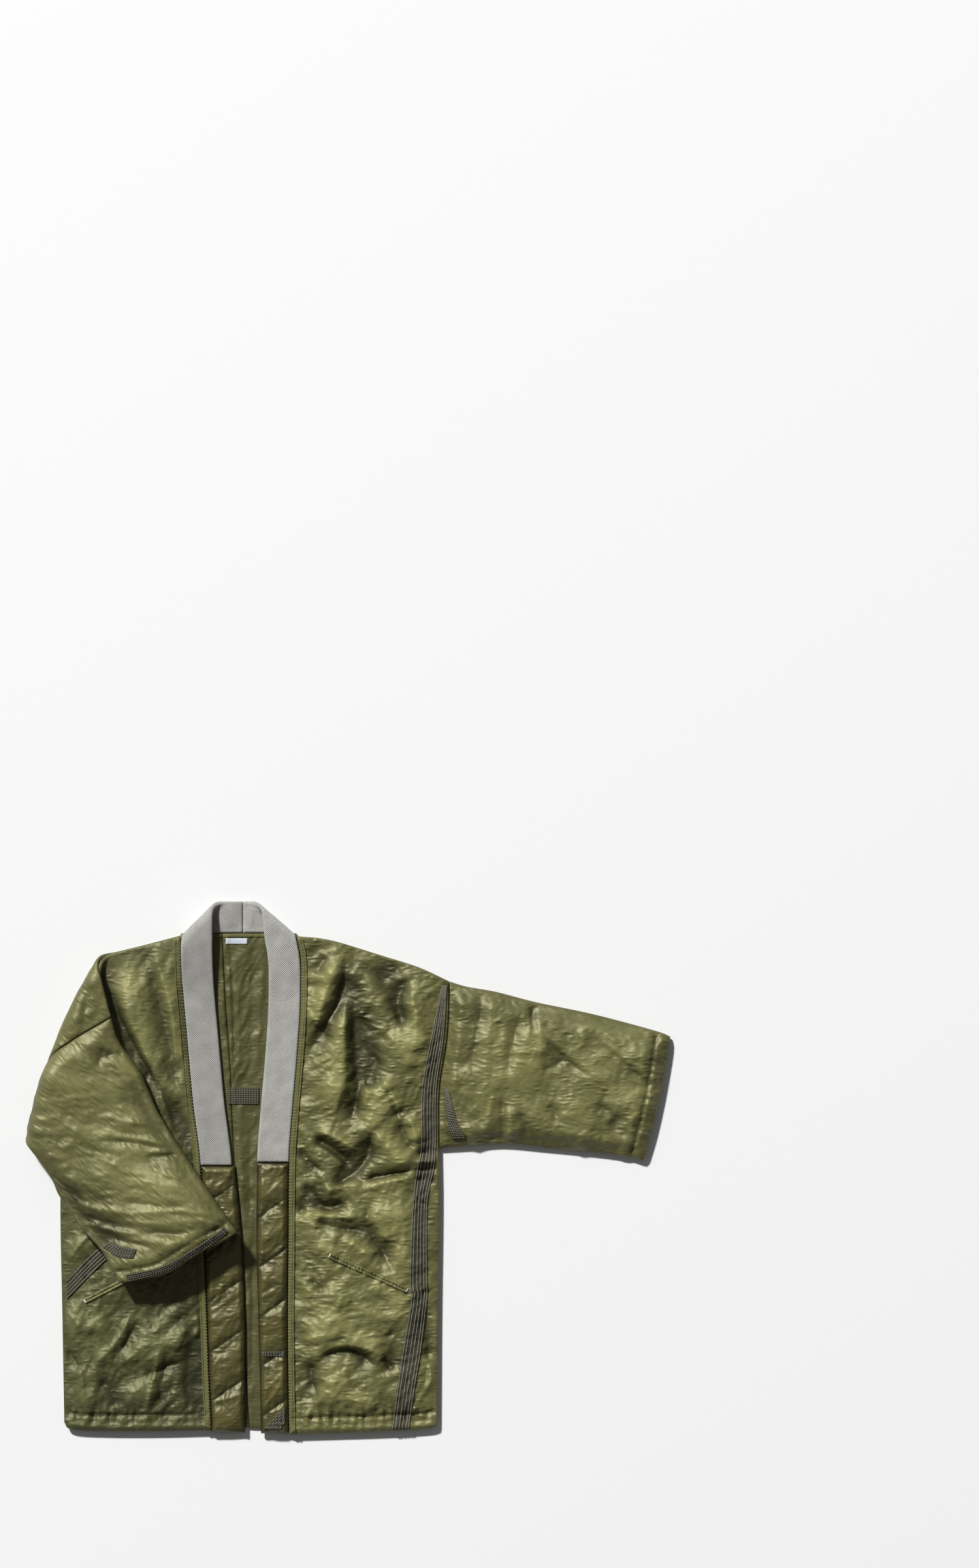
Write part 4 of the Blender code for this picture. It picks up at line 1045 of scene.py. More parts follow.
# %% Folds of the left front
FOLDS_LEFT = from_photo([
    ((521, 1462, 500, 1520, 480, 1585), 11, 16, 7.0, 1.8),
    ((530, 1462, 522, 1525, 497, 1570, 474, 1608), 16, 9, -9.0, 1.6),
    ((500, 1462, 484, 1492), 8, 8, -4.0, 1.8),
    ((531, 1525, 527, 1580, 525, 1640, 512, 1712), 7, 16, 6.5, 1.8),
    ((540, 1528, 549, 1600, 550, 1660, 534, 1730), 16, 13, -8.5, 1.7),
    ((552, 1640, 562, 1670, 556, 1700), 10, 10, 4.5, 1.6),
    ((575, 1610, 566, 1640, 558, 1668), 9, 8, -6.0, 1.7),
    ((604, 1472, 592, 1486, 585, 1502), 10, 9, -6.0, 2.0),
    ((622, 1498, 609, 1530, 618, 1578), 11, 10, -7.0, 2.0),
    ((590, 1579, 619, 1609, 634, 1640), 9, 9, 4.5, 1.3),
    ((619, 1609, 640, 1598, 658, 1586), 8, 8, 4.0, 1.3),
    ((584, 1648, 600, 1672, 614, 1703), 8, 12, 6.5, 1.4),
    ((590, 1662, 603, 1688, 612, 1714), 8, 6, -5.5, 1.6),
    ((560, 1722, 574, 1700, 586, 1664), 16, 14, 4.0, 1.8),
    ((477, 1737, 512, 1760, 545, 1790), 9, 9, -8.0, 2.2),
    ((480, 1728, 515, 1740, 550, 1762), 7, 9, 4.5, 1.6),
    ((481, 1750, 507, 1768, 533, 1790), 6, 6, 2.4, 1.4),
    ((570, 1727, 563, 1768, 541, 1795, 500, 1820), 9, 12, -8.5, 1.7),
    ((572, 1728, 600, 1760, 628, 1786), 13, 8, 5.5, 1.6),
    ((614, 1710, 618, 1735, 636, 1762), 7, 7, -5.0, 1.6),
    ((624, 1706, 634, 1725, 640, 1750), 9, 9, 4.0, 1.6),
    ((556, 1805, 595, 1797, 634, 1789), 6, 7, -9.0, 1.6),
    ((560, 1818, 600, 1806, 634, 1800), 9, 7, 5.5, 1.7),
    ((456, 1757, 472, 1777, 493, 1792), 4, 4, -4.5, 1.6),
    ((462, 1808, 483, 1836, 504, 1848, 534, 1836), 8, 9, -8.0, 1.8),
    ((490, 1826, 520, 1816, 556, 1812), 8, 8, 4.0, 1.6),
    ((464, 1830, 461, 1858), 5, 5, -4.0, 1.8),
    ((472, 1858, 510, 1860, 548, 1862), 8, 6, 5.0, 1.6),
    ((480, 1868, 520, 1879, 566, 1884), 9, 9, -5.0, 1.6),
    ((570, 1834, 562, 1864, 574, 1895, 602, 1940), 12, 11, -6.5, 1.7),
    ((577, 1842, 582, 1875, 600, 1902), 8, 6, 5.5, 1.5),
    ((579, 1875, 600, 1882), 4, 4, 3.0, 1.5),
    ((520, 1897, 548, 1908, 576, 1926), 8, 8, 3.5, 1.5),
    ((476, 1955, 486, 1966, 495, 1978), 4, 4, -2.6, 1.6),
    ((462, 2050, 500, 2041, 538, 2028), 6, 6, 3.2, 1.4),
    ((470, 2059, 505, 2052, 536, 2044), 6, 6, -3.0, 1.6),
    ((488, 2082, 508, 2070, 540, 2067, 578, 2090), 7, 7, -6.5, 1.8),
    ((492, 2070, 520, 2058, 556, 2060, 590, 2076), 7, 7, 3.0, 1.6),
    ((585, 2075, 594, 2086, 602, 2098), 5, 5, -4.5, 1.6),
    ((480, 2083, 476, 2108, 486, 2132), 6, 6, -4.5, 1.8),
    ((604, 2010, 600, 2060, 608, 2110), 20, 16, -3.4, 1.8),
    ((500, 2108, 512, 2124, 505, 2140), 9, 9, 3.5, 1.6),
    ((534, 2095, 540, 2115, 552, 2130), 6, 6, -2.5, 1.6),
    ((650, 1990, 656, 2050, 650, 2120), 6, 6, -2.5, 1.8),
    ((636, 1764, 652, 1764, 670, 1760), 5, 5, -4.0, 1.6),
    ((636, 1776, 652, 1777, 670, 1774), 4, 4, 3.0, 1.4),
    ((636, 1788, 652, 1790, 670, 1788), 4, 4, -3.5, 1.6),
    ((634, 1802, 650, 1806, 668, 1806), 5, 5, -4.0, 1.6),
    ((646, 2070, 660, 2100, 652, 2130), 7, 7, 3.0, 1.6),
    ((531, 1525, 527, 1580, 525, 1640, 512, 1712), 10, 26, 3.0, 1.6),
    ((604, 1664, 575, 1716, 552, 1752), 12, 20, 3.2, 1.6),
    ((520, 1852, 575, 1864, 625, 1852), 28, 12, 3.4, 1.6),
    ((506, 1835, 512, 1880, 505, 1935), 14, 28, 3.0, 1.6),
    ((612, 1830, 606, 1920, 604, 2060), 34, 10, 2.4, 1.8),
    ((500, 1960, 520, 2000, 505, 2030), 20, 26, 2.6, 1.6),
    ((455, 2062, 530, 2048, 610, 2060), 24, 10, 2.8, 1.6),
    ((480, 2150, 530, 2140, 590, 2150), 26, 10, 2.4, 1.6),
    ((628, 1500, 636, 1550, 640, 1610), 16, 14, 2.8, 1.6),
])
print("the left front has", len(FOLDS_LEFT), "folds")

# %% Folds of the right front
FOLDS_RIGHT = from_photo([
    ((184, 1470, 205, 1560, 236, 1640, 268, 1740), 22, 8, 6.5, 1.6),
    ((224, 1466, 244, 1530, 262, 1600, 276, 1690), 9, 16, -4.5, 1.7),
    ((240, 1466, 262, 1540, 272, 1640), 12, 8, 4.5, 1.6),
    ((204, 2006, 184, 2045, 152, 2086), 7, 7, 3.6, 1.3),
    ((214, 2014, 194, 2052, 166, 2090), 7, 7, -3.0, 1.6),
    ((226, 2056, 206, 2072, 186, 2086), 6, 6, 3.0, 1.4),
    ((246, 2052, 238, 2100, 222, 2166), 8, 7, 4.2, 1.3),
    ((257, 2062, 250, 2110, 236, 2160), 8, 8, -3.0, 1.8),
    ((280, 2081, 250, 2094, 214, 2106), 5, 6, -3.6, 1.6),
    ((290, 2024, 276, 2046, 262, 2066), 10, 8, 3.6, 1.6),
    ((300, 2040, 300, 2090, 290, 2150), 12, 12, -3.6, 2.0),
    ((120, 2086, 128, 2120, 126, 2158), 6, 6, 3.0, 1.5),
    ((104, 2064, 114, 2080, 126, 2096), 5, 5, -3.0, 1.6),
    ((112, 2040, 140, 2030, 170, 2030), 9, 9, 2.5, 1.6),
    ((150, 2110, 170, 2128, 184, 2156), 8, 8, -2.6, 1.8),
    ((100, 2000, 112, 2016, 132, 2022), 7, 7, 3.0, 1.6),
    ((106, 1930, 122, 1906, 140, 1890), 8, 8, 3.0, 1.6),
    ((300, 2010, 304, 2030, 300, 2050), 6, 6, 3.0, 1.6),
    ((146, 1456, 200, 1588, 252, 1676, 330, 1800), 8, 14, -8.0, 1.8),
    ((308, 1980, 308, 2080, 304, 2190), 12, 24, -4.0, 1.8),
    ((200, 2056, 250, 2058, 292, 2046), 30, 10, 3.2, 1.6),
    ((100, 2028, 135, 2024, 170, 2012), 24, 26, 3.0, 1.6),
    ((190, 2130, 225, 2126, 250, 2128), 16, 10, 2.0, 1.6),
])
print("the right front has", len(FOLDS_RIGHT), "folds")

# %% [markdown]
# Heights add up in layers: the pillow of wadding, coarse and middling crumples, the folds
# above, short ripples along every seam, and last a fine wrinkling. Real wadding can only be
# squashed so flat and puff so high, so the sum levels off softly at both ends.

# %% Levelling off
FRONT_HIGH = 9.0
FRONT_LOW = -3.2
LEVEL_OFF = 3.0


def soft_floor(value, low, soft=1.2):
    """Values that level off softly above a lowest one."""
    return low + soft * np.log1p(np.exp(np.clip((value - low) / soft, -30, 30)))


def levelled(value, low, high):
    """Values that level off softly at a lowest and a highest one."""
    return high - soft_floor(high - soft_floor(value, low), 0.0, LEVEL_OFF)


print("a height of 12 mm levels off to",
      round(float(levelled(12.0, FRONT_LOW, FRONT_HIGH)), 1), "mm")


# %% The outline of a front
def front_outline(pattern, side):
    """A front, from its seam with the band round to the hem."""
    hem_line = smooth_line(pattern["hem"])
    shoulder_line = smooth_line(pattern["shoulder"])
    low_y, high_y = hem_line[0][1], shoulder_line[0][1]
    heights = np.linspace(low_y, high_y, round((high_y - low_y) / EDGE_STEP))
    inner = np.column_stack([along(pattern["seam"], heights) + side * SEAM_GAP, heights])
    inner[-1] = shoulder_line[0]
    hem_line[0] = inner[0]
    return join_edges(inner, shoulder_line, smooth_line(pattern["armhole"])[::-1],
                      smooth_line(pattern["side"])[::-1], hem_line[::-1])


print("the left front has", len(front_outline(PATTERN_LEFT, 1)), "points round it")

# %% The shape of a front
FRONT_BOTTOM = WALL + SEAM_GAP
PUFF_REACH = 60.0
HEM_DEEP = 25.0
HEM_ROLL = 4.5
HEM_GROOVE = (3.0, 3.2)
COARSE_CRUMPLE = (84.0, 6.5)
MIDDLE_CRUMPLE = (34.0, 3.4)
CRUMPLE_FADE = 26.0
FINE_SIZE = 19.0
FINE_HIGH = 1.7
FINE_STRETCH = 2.6
FINE_FADE = 16.0
EDGE_FADE = 10.0
GROOVE_FADE = 8.0
# Ripples at the hem, the band's seam, the shoulder and the armhole: period, height, reach
FRONT_GATHERS = ((8.0, 3.4, 15.0), (11.0, 2.2, 14.0), (14.0, 2.0, 16.0), (16.0, 1.6, 14.0))
# How much the ridges and the troughs of the tables are grown
FOLDS_GROW = (2.5, 2.1)
AIR_SHARE = 0.4
AIR_HIGH = 3.0
AIR_REACH = 20.0
LEAST_WALL = 0.8
FOLD_FLATTENS = 60.0
FOLD_LOOSENS = 40.0
# How much painted shade darkens the rounded edges, and how far the rise that paints light and shade
# is lowered over the calm face
EDGE_SHADE = 0.7
FRONT_CALM = 0.5


class Front:
    """A front's shape: how high its faces lie at any place of the flat cut."""

    def __init__(self, side, pattern, puff, table, seed, turns, lay, fold):
        self.side, self.puff, self.table, self.seed, self.turns = side, puff, table, seed, turns
        self.lay, self.fold = lay, fold
        self.outline = front_outline(pattern, side)
        self.hem_line = smooth_line(pattern["hem"]) + np.array((0.0, HEM_DEEP))
        heights = np.arange(0.0, 760.0, EDGE_STEP)
        seam_line = np.column_stack([along(pattern["seam"], heights), heights])
        self.seams = (self.hem_line, seam_line, smooth_line(pattern["shoulder"]),
                      smooth_line(pattern["armhole"]))

    def heights(self, flat):
        """The top and the underside at flat points."""
        depth = from_edge(flat, self.outline)
        pillow = self.puff * smoothstep(depth / PUFF_REACH)
        seed = self.seed
        small = crumpled(flat, *COARSE_CRUMPLE, seed, self.turns)
        small -= crumpled(flat, *MIDDLE_CRUMPLE, seed + 5, self.turns[::-1])
        small *= smoothstep(depth / CRUMPLE_FADE)
        for step, (line, ripples) in enumerate(zip(self.seams, FRONT_GATHERS)):
            small += gathers(flat, line, *ripples, seed + 11 + step)
        big = creases(flat, self.table, *FOLDS_GROW)
        past_hem = nearest_on(flat, self.hem_line)
        share = np.where(past_hem[2] * self.side < 0, past_hem[0] / HEM_DEEP, 0.0).clip(0, 1)
        big += HEM_ROLL * np.sin(math.pi * share ** 3)
        relief = (small + big) * smoothstep(depth / EDGE_FADE)
        pulled = groove(flat, self.hem_line, *HEM_GROOVE) * smoothstep(depth / GROOVE_FADE)
        lift = levelled(pillow + relief - pulled, FRONT_LOW, self.puff + FRONT_HIGH)
        wrinkles = crumpled(flat, FINE_SIZE, FINE_HIGH, seed + 60, self.turns[1:3], FINE_STRETCH)
        lift += wrinkles * smoothstep(depth / FINE_FADE)
        rest = FRONT_BOTTOM * np.ones(len(flat))
        if self.fold is not None:
            out = (flat - self.fold["start"]) @ self.fold["out"]
            lift = lift * smoothstep(-out / FOLD_FLATTENS)
            rest = rest + FOLD_SLACK * smoothstep(1.0 + out / FOLD_LOOSENS)
        drop = rounded(depth, RIM)
        # Painted light and shade: the rise paints crests paler and troughs darker, with painted
        # shade where the rounded edge drops
        self.rise = relief - EDGE_SHADE * drop - FRONT_CALM
        top = rest + WALL + lift - drop
        air = np.clip(AIR_SHARE * (lift - small), 0.0, AIR_HIGH) * smoothstep(depth / AIR_REACH)
        bottom = rest + air + RIM_UNDER * drop
        return top, np.minimum(bottom, top - LEAST_WALL)

    def place(self, flat, above=0.0):
        """Points a little above the front's face."""
        return self.lay(raised(flat, self.heights(flat)[0] + above))


print("a front's wadding may rise", FRONT_HIGH, "mm over its pillow")

# %% Making the fronts
FRONT_FILL = 2.7
TURNS_LEFT = (115.0, 55.0, 15.0, 140.0)
TURNS_RIGHT = (95.0, 50.0, 120.0, 70.0)
PUFF_LEFT = 10.0
PUFF_RIGHT = 7.0


def make_front(side_name, front):
    """A front panel as one closed skin of nylon."""
    flat, triangles = fill(front.outline, FRONT_FILL)
    top, bottom = front.heights(flat)
    surfaces = [front.lay(raised(flat, top)), front.lay(raised(flat, bottom))]
    cloth = nylon if front.fold is None else shaded_nylon_right
    piece = make_slab("front_" + side_name, flat, triangles, surfaces, [cloth], rise=front.rise)
    size, area = cut_size(front.outline)
    return finish_piece(piece, "front_" + side_name, "nylon")


front_left = Front(1, PATTERN_LEFT, PUFF_LEFT, FOLDS_LEFT, 101, TURNS_LEFT, lay_flat, None)
front_right = Front(-1, PATTERN_RIGHT, PUFF_RIGHT, FOLDS_RIGHT, 151, TURNS_RIGHT, lay_right,
                    SHOULDER_FOLD)
make_front("left", front_left)
make_front("right", front_right)

# %% [markdown]
# A sleeve is a flattened tube: one cloth on top, one below, and a hollow between them that
# stays open at the armhole and the cuff. The left one shows its top. The right one is
# rolled over, so it shows the side that was underneath, and its cuff stands open.

# %% Folds of the left sleeve
FOLDS_SLEEVE_LEFT = from_photo([
    ((733, 1514, 737, 1545, 729, 1585, 722, 1650), 6, 15, -2.2, 1.4),
    ((776, 1560, 768, 1640, 760, 1710), 10, 22, 2.4, 1.6),
    ((826, 1590, 812, 1640, 786, 1690), 12, 18, 2.8, 1.6),
    ((975, 1590, 972, 1650, 955, 1705), 12, 50, 2.6, 1.6),
    ((770, 1704, 850, 1710, 940, 1716), 46, 24, 2.8, 1.6),
    ((752, 1524, 748, 1600, 742, 1660, 738, 1715), 12, 12, 3.4, 1.4),
    ((818, 1532, 814, 1556, 815, 1582), 6, 5, -3.4, 1.4),
    ((806, 1544, 812, 1572, 800, 1606, 782, 1655), 8, 9, 3.4, 1.4),
    ((797, 1552, 784, 1600, 776, 1652), 8, 9, -2.8, 1.4),
    ((824, 1568, 829, 1592, 826, 1620), 7, 6, 4.0, 1.6),
    ((779, 1597, 800, 1617, 830, 1640), 4, 4, 2.4, 1.3),
    ((815, 1604, 794, 1648, 772, 1684), 9, 10, 4.0, 1.6),
    ((768, 1672, 771, 1722, 766, 1752), 5, 8, -2.6, 1.4),
    ((778, 1690, 782, 1720, 776, 1748), 6, 6, 4.0, 1.6),
    ((796, 1698, 804, 1722, 806, 1740), 6, 6, -3.0, 1.7),
    ((756, 1665, 750, 1700, 740, 1740), 5, 5, 3.0, 1.5),
    ((830, 1572, 868, 1612, 905, 1637, 951, 1668), 6, 5, 3.4, 1.3),
    ((828, 1584, 860, 1616, 896, 1642), 5, 5, -2.6, 1.6),
    ((922, 1591, 955, 1618, 997, 1646), 6, 6, 3.0, 1.4),
    ((930, 1606, 962, 1632, 992, 1658), 5, 5, -2.4, 1.6),
    ((885, 1577, 893, 1594, 868, 1616), 6, 6, 3.0, 1.4),
    ((868, 1616, 846, 1632, 826, 1636), 5, 5, -2.4, 1.5),
    ((882, 1585, 900, 1572, 925, 1580, 948, 1600), 5, 6, 2.6, 1.5),
    ((835, 1690, 850, 1700, 846, 1720), 7, 7, -2.6, 1.8),
    ((854, 1713, 878, 1706, 900, 1692), 10, 8, 4.0, 1.6),
    ((878, 1760, 890, 1746, 899, 1726), 4, 5, 3.4, 1.5),
    ((905, 1690, 930, 1700, 950, 1730), 9, 9, -2.5, 1.8),
    ((930, 1660, 945, 1690, 925, 1720), 9, 9, 3.0, 1.7),
    ((960, 1718, 972, 1708, 984, 1700), 5, 5, 2.8, 1.5),
    ((700, 1640, 694, 1660), 5, 5, 2.4, 1.5),
    ((716, 1716, 724, 1740, 722, 1756), 8, 7, 3.4, 1.6),
])
print("the left sleeve has", len(FOLDS_SLEEVE_LEFT), "folds")

# %% Folds of the right sleeve
FOLDS_SLEEVE_RIGHT = from_photo([
    ((196, 1612, 178, 1612, 160, 1614), 5, 5, -3.6, 1.6),
    ((160, 1600, 159, 1613, 150, 1632), 6, 6, -3.0, 1.7),
    ((172, 1604, 196, 1628, 214, 1652), 6, 6, 2.6, 1.4),
    ((166, 1622, 186, 1650, 216, 1672), 5, 5, -2.4, 1.5),
    ((110, 1640, 128, 1668, 140, 1700), 6, 6, 2.4, 1.4),
    ((141, 1706, 178, 1710, 222, 1720), 4, 5, 3.2, 1.4),
    ((138, 1731, 200, 1738, 268, 1750), 4, 6, 4.0, 1.3),
    ((150, 1742, 210, 1748, 262, 1757), 4, 4, -3.2, 1.5),
    ((144, 1754, 210, 1757, 279, 1762), 4, 5, 3.4, 1.3),
    ((222, 1768, 252, 1766, 276, 1764), 4, 4, -3.4, 1.5),
    ((141, 1780, 190, 1800, 240, 1808, 284, 1824), 5, 6, 4.2, 1.3),
    ((150, 1794, 200, 1812, 262, 1830), 5, 5, -3.0, 1.5),
    ((170, 1806, 226, 1812, 288, 1818), 4, 4, 2.6, 1.3),
    ((188, 1838, 250, 1840, 300, 1848), 6, 6, -2.6, 1.6),
    ((194, 1854, 270, 1850, 344, 1853), 5, 6, 3.6, 1.3),
    ((212, 1868, 265, 1868, 322, 1862), 5, 6, 3.4, 1.3),
    ((222, 1880, 272, 1884, 318, 1874), 5, 5, -3.0, 1.5),
    ((232, 1896, 262, 1898, 288, 1892), 5, 6, 3.0, 1.4),
    ((100, 1790, 130, 1820, 140, 1860), 8, 8, 2.6, 1.5),
    ((120, 1840, 170, 1850, 220, 1856), 5, 5, 2.4, 1.4),
    ((130, 1870, 180, 1880, 226, 1884), 5, 6, 2.6, 1.4),
    ((140, 1884, 190, 1894, 240, 1904), 5, 5, -2.4, 1.5),
    ((96, 1760, 116, 1740, 122, 1716), 6, 6, 2.4, 1.4),
    ((78, 1794, 96, 1812, 98, 1830), 5, 5, -2.4, 1.6),
    ((110, 1778, 170, 1802, 250, 1828, 330, 1848), 30, 12, 6.0, 1.5),
    ((190, 1892, 260, 1900, 330, 1888), 22, 10, 4.2, 1.5),
    ((172, 1610, 178, 1680, 200, 1750), 40, 48, 4.6, 1.6),
    ((188, 1600, 240, 1700, 310, 1810), 22, 20, 3.4, 1.6),
    ((92, 1796, 140, 1850, 196, 1902), 24, 24, -4.6, 1.8),
    ((204, 1640, 252, 1722, 300, 1800), 18, 26, -4.2, 1.8),
    ((110, 1600, 112, 1650, 130, 1700), 26, 26, 3.0, 1.8),
])
print("the right sleeve has", len(FOLDS_SLEEVE_RIGHT), "folds")

# %% [markdown]
# One class serves both sleeves. What differs is kept in two small sets of values: the laid
# sleeve has soft bumps that run across it, and the folded one long wrinkles down the arm.
# Past the fold the relief fades in slowly, so that the layer below it stays flat.

# %% The two ways of a sleeve
LAID = {
    "turns": (-32.0, 65.0, 115.0, 20.0), "coarse": 4.6, "stretch": 2.2, "middle": 1.2,
    "long": 2.6, "grow": (2.1, 2.3), "pillow": 11.0, "calm": 1.0,
}
FOLDED = {
    "turns": (-14.0, -4.0, -24.0, 8.0), "coarse": 6.0, "stretch": 3.0, "middle": 1.8,
    "long": 4.0, "grow": (1.9, 1.9), "pillow": 7.0, "calm": 2.2,
}
print("the sleeves puff up by", LAID["pillow"], "and", FOLDED["pillow"], "mm")

# %% The ends and the hollow of a sleeve
MOUTH_HAIR = 0.15
CORNER_CLEAR = 1.5
WALL_CLEAR = 2.5


def keep_clear(points, ends, clear):
    """The points that lie clear of both ends."""
    return [point for point in points
            if min(np.linalg.norm(point - end) for end in ends) > clear]


def wall_steps(line, outward):
    """An open end's line, with a point one wall in from each corner, a hair outwards."""
    first = line[0] + (line[1] - line[0]) * (WALL / np.linalg.norm(line[1] - line[0]))
    last = line[-1] + (line[-2] - line[-1]) * (WALL / np.linalg.norm(line[-2] - line[-1]))
    hair = np.array((MOUTH_HAIR * outward, 0.0))
    inner = keep_clear(line[1:-1], (line[0], line[-1]), WALL + CORNER_CLEAR)
    return np.vstack([line[:1], first + hair, inner, last + hair, line[-1:]])


def walk_in(edge, turn, start, end):
    """A long edge moved in by one wall, between a given start and end."""
    inner = []
    for before, point, after in zip(edge, edge[1:], edge[2:]):
        run = (after - before) / np.linalg.norm(after - before)
        inner.append(point + turn * WALL * np.array((-run[1], run[0])))
    return np.vstack([start, keep_clear(inner, (start, end), WALL_CLEAR), end])


print("the left cuff's end has", len(wall_steps(smooth_line(CUFF_LEFT), 1)), "points")

# %% The shape of a sleeve
SLEEVE_ROUND = 6.0
SLEEVE_AIR = 1.5
SLEEVE_AIR_REACH = 14.0
CUFF_AIR_RIGHT = 24.0
CUFF_AIR_REACH = 60.0
CUFF_HEM_DEEP = 22.0
CUFF_ROLL = 2.0
CUFF_ROLL_IN = 12.0
CUFF_ROLL_REACH = 7.0
CUFF_GROOVE = (3.2, 2.6)
ARMHOLE_GAP = 0.9
END_RIM = 0.6
SLEEVE_COARSE = 70.0
SLEEVE_MIDDLE = 34.0
SLEEVE_FINE = 21.0
LONG_EDGE_CALM = 2.0
LONG_EDGE_FADE = 16.0
SLEEVE_EDGE_FADE = 6.0
SLEEVE_SIDE_FADE = 8.0
PILLOW_REACH = 30.0
PILLOW_ENDS = 20.0
WRINKLE_FADE = 12.0
WRINKLE_SIDE_FADE = 20.0
SLEEVE_LOW = -3.0
SLEEVE_HIGH = 7.0
FADE_FROM = 0.3
# Ripples at the cuff's hem, the armhole and the cuff: period, height, reach
SLEEVE_GATHERS = ((8.0, 2.6, 12.0), (17.0, 2.6, 18.0), (7.0, 1.6, 9.0))


class Sleeve:
    """A sleeve's shape: its four surfaces at any place of the flat cut."""

    def __init__(self, side, pattern, air, table, seed, lay, folded):
        self.air, self.table, self.seed = air, table, seed
        self.lay, self.folded = lay, folded
        self.way = FOLDED if folded else LAID
        away = np.array((side * ARMHOLE_GAP, 0.0))
        self.top_line = smooth_line(pattern["sleeve_top"])
        self.low_line = smooth_line(pattern["sleeve_low"])
        self.top_line[0] += away
        self.low_line[0] += away
        arm_line = wall_steps(smooth_line(pattern["armhole"]), -side) + away
        cuff_line = wall_steps(smooth_line(pattern["cuff"]), side)
        self.outline = join_edges(self.low_line, cuff_line, self.top_line[::-1], arm_line[::-1])
        self.inner_low = walk_in(self.low_line, side, arm_line[1], cuff_line[1])
        self.inner_top = walk_in(self.top_line, -side, arm_line[-2], cuff_line[-2])
        self.cavity = join_edges(self.inner_low, cuff_line[1:-1], self.inner_top[::-1],
                                 arm_line[1:-1][::-1])
        self.hem_line = cuff_line - side * np.array((CUFF_HEM_DEEP, 0.0))
        self.seams = (self.hem_line, arm_line, cuff_line)

    def surfaces(self, flat):
        """The top, the underside, and the hollow's ceiling and floor at flat points."""
        long_edges = np.minimum(nearest_on(flat, self.low_line)[0],
                                nearest_on(flat, self.top_line)[0])
        depth = from_edge(flat, self.outline)
        drop = rounded(long_edges, SLEEVE_ROUND)
        ends = rounded(depth, RIM) * END_RIM * (long_edges > RIM)
        seed, way, turns = self.seed, self.way, self.way["turns"]
        shown = self.lay(raised(flat, WALL))[:, :2]
        small = crumpled(shown, SLEEVE_COARSE, way["coarse"], seed, turns, way["stretch"])
        small -= crumpled(shown, SLEEVE_MIDDLE, way["middle"], seed + 5, turns[::-1])
        small *= smoothstep((long_edges - LONG_EDGE_CALM) / LONG_EDGE_FADE)
        for step, (line, ripples) in enumerate(zip(self.seams, SLEEVE_GATHERS)):
            small += gathers(flat, line, *ripples, seed + 11 + step)
        sides = smoothstep(long_edges / SLEEVE_SIDE_FADE)
        relief = small + creases(shown, self.table, *way["grow"])
        relief = relief * smoothstep(depth / SLEEVE_EDGE_FADE) * sides
        relief -= groove(flat, self.hem_line, *CUFF_GROOVE) * sides
        pillow = way["pillow"] * smoothstep(long_edges / PILLOW_REACH)
        pillow = pillow * smoothstep(depth / PILLOW_ENDS)
        relief = levelled(relief + pillow, SLEEVE_LOW, pillow + SLEEVE_HIGH)
        wrinkles = crumpled(shown, SLEEVE_FINE, FINE_HIGH, seed + 60, turns[:2], way["long"])
        wrinkles = wrinkles * smoothstep(long_edges / WRINKLE_SIDE_FADE)
        relief += wrinkles * smoothstep(depth / WRINKLE_FADE)
        if self.folded:
            past = (flat - SHOULDER_FOLD["start"]) @ SHOULDER_FOLD["out"] / SHOULDER_FOLD["arc"]
            relief = relief * smoothstep((past - FADE_FROM) / (1 - FADE_FROM))
        down_sleeve = (np.abs(flat[:, 0]) - SLEEVE_START) / SLEEVE_LONG
        opened = self.air * smoothstep(2 * down_sleeve - 1.0)
        opened = opened * np.sqrt(smoothstep((long_edges - WALL) / CUFF_AIR_REACH))
        from_roll = nearest_on(flat, self.hem_line)[0] - CUFF_ROLL_IN
        relief += CUFF_ROLL * np.exp(-(from_roll / CUFF_ROLL_REACH) ** 2)
        # Painted light and shade: crests paler and troughs darker, with painted shade where the
        # rounded long edges fall away; calm lowers it over a calm face
        self.rise = relief - pillow - EDGE_SHADE * drop - way["calm"]
        air = SLEEVE_AIR * smoothstep((long_edges - 1.0) / SLEEVE_AIR_REACH)
        height = 2 * WALL + SEAM_GAP + air + opened
        if self.folded:
            top = height - drop - ends
            bottom = drop + ends - relief
        else:
            top = height + relief - drop - ends
            bottom = drop + ends
        return top, bottom, height - WALL, np.full(len(flat), WALL)

    def place(self, flat, above=0.0):
        """Points a little above the face that shows."""
        top, bottom, _, _ = self.surfaces(flat)
        return self.lay(raised(flat, bottom - above if self.folded else top + above))


print("ripples of a sleeve:", SLEEVE_GATHERS)

# %% Making the sleeves
SLEEVE_FILL = 3.2
SLEEVE_LOOPS = (1.0, 2.6)


def make_sleeve(side_name, sleeve):
    """A sleeve as one closed skin: nylon outside, lining in its hollow."""
    guides = [sleeve.inner_low, sleeve.inner_top]
    flat, triangles = fill(sleeve.outline, SLEEVE_FILL, guides, loops=SLEEVE_LOOPS)
    surfaces = [sleeve.lay(raised(flat, level)) for level in sleeve.surfaces(flat)]
    piece = make_slab("sleeve_" + side_name, flat, triangles, surfaces, [nylon, nylon, lining],
                      sleeve.cavity, sleeve.rise)
    (wide, long), area = cut_size(sleeve.outline)
    return finish_piece(piece, "sleeve_" + side_name, "nylon")


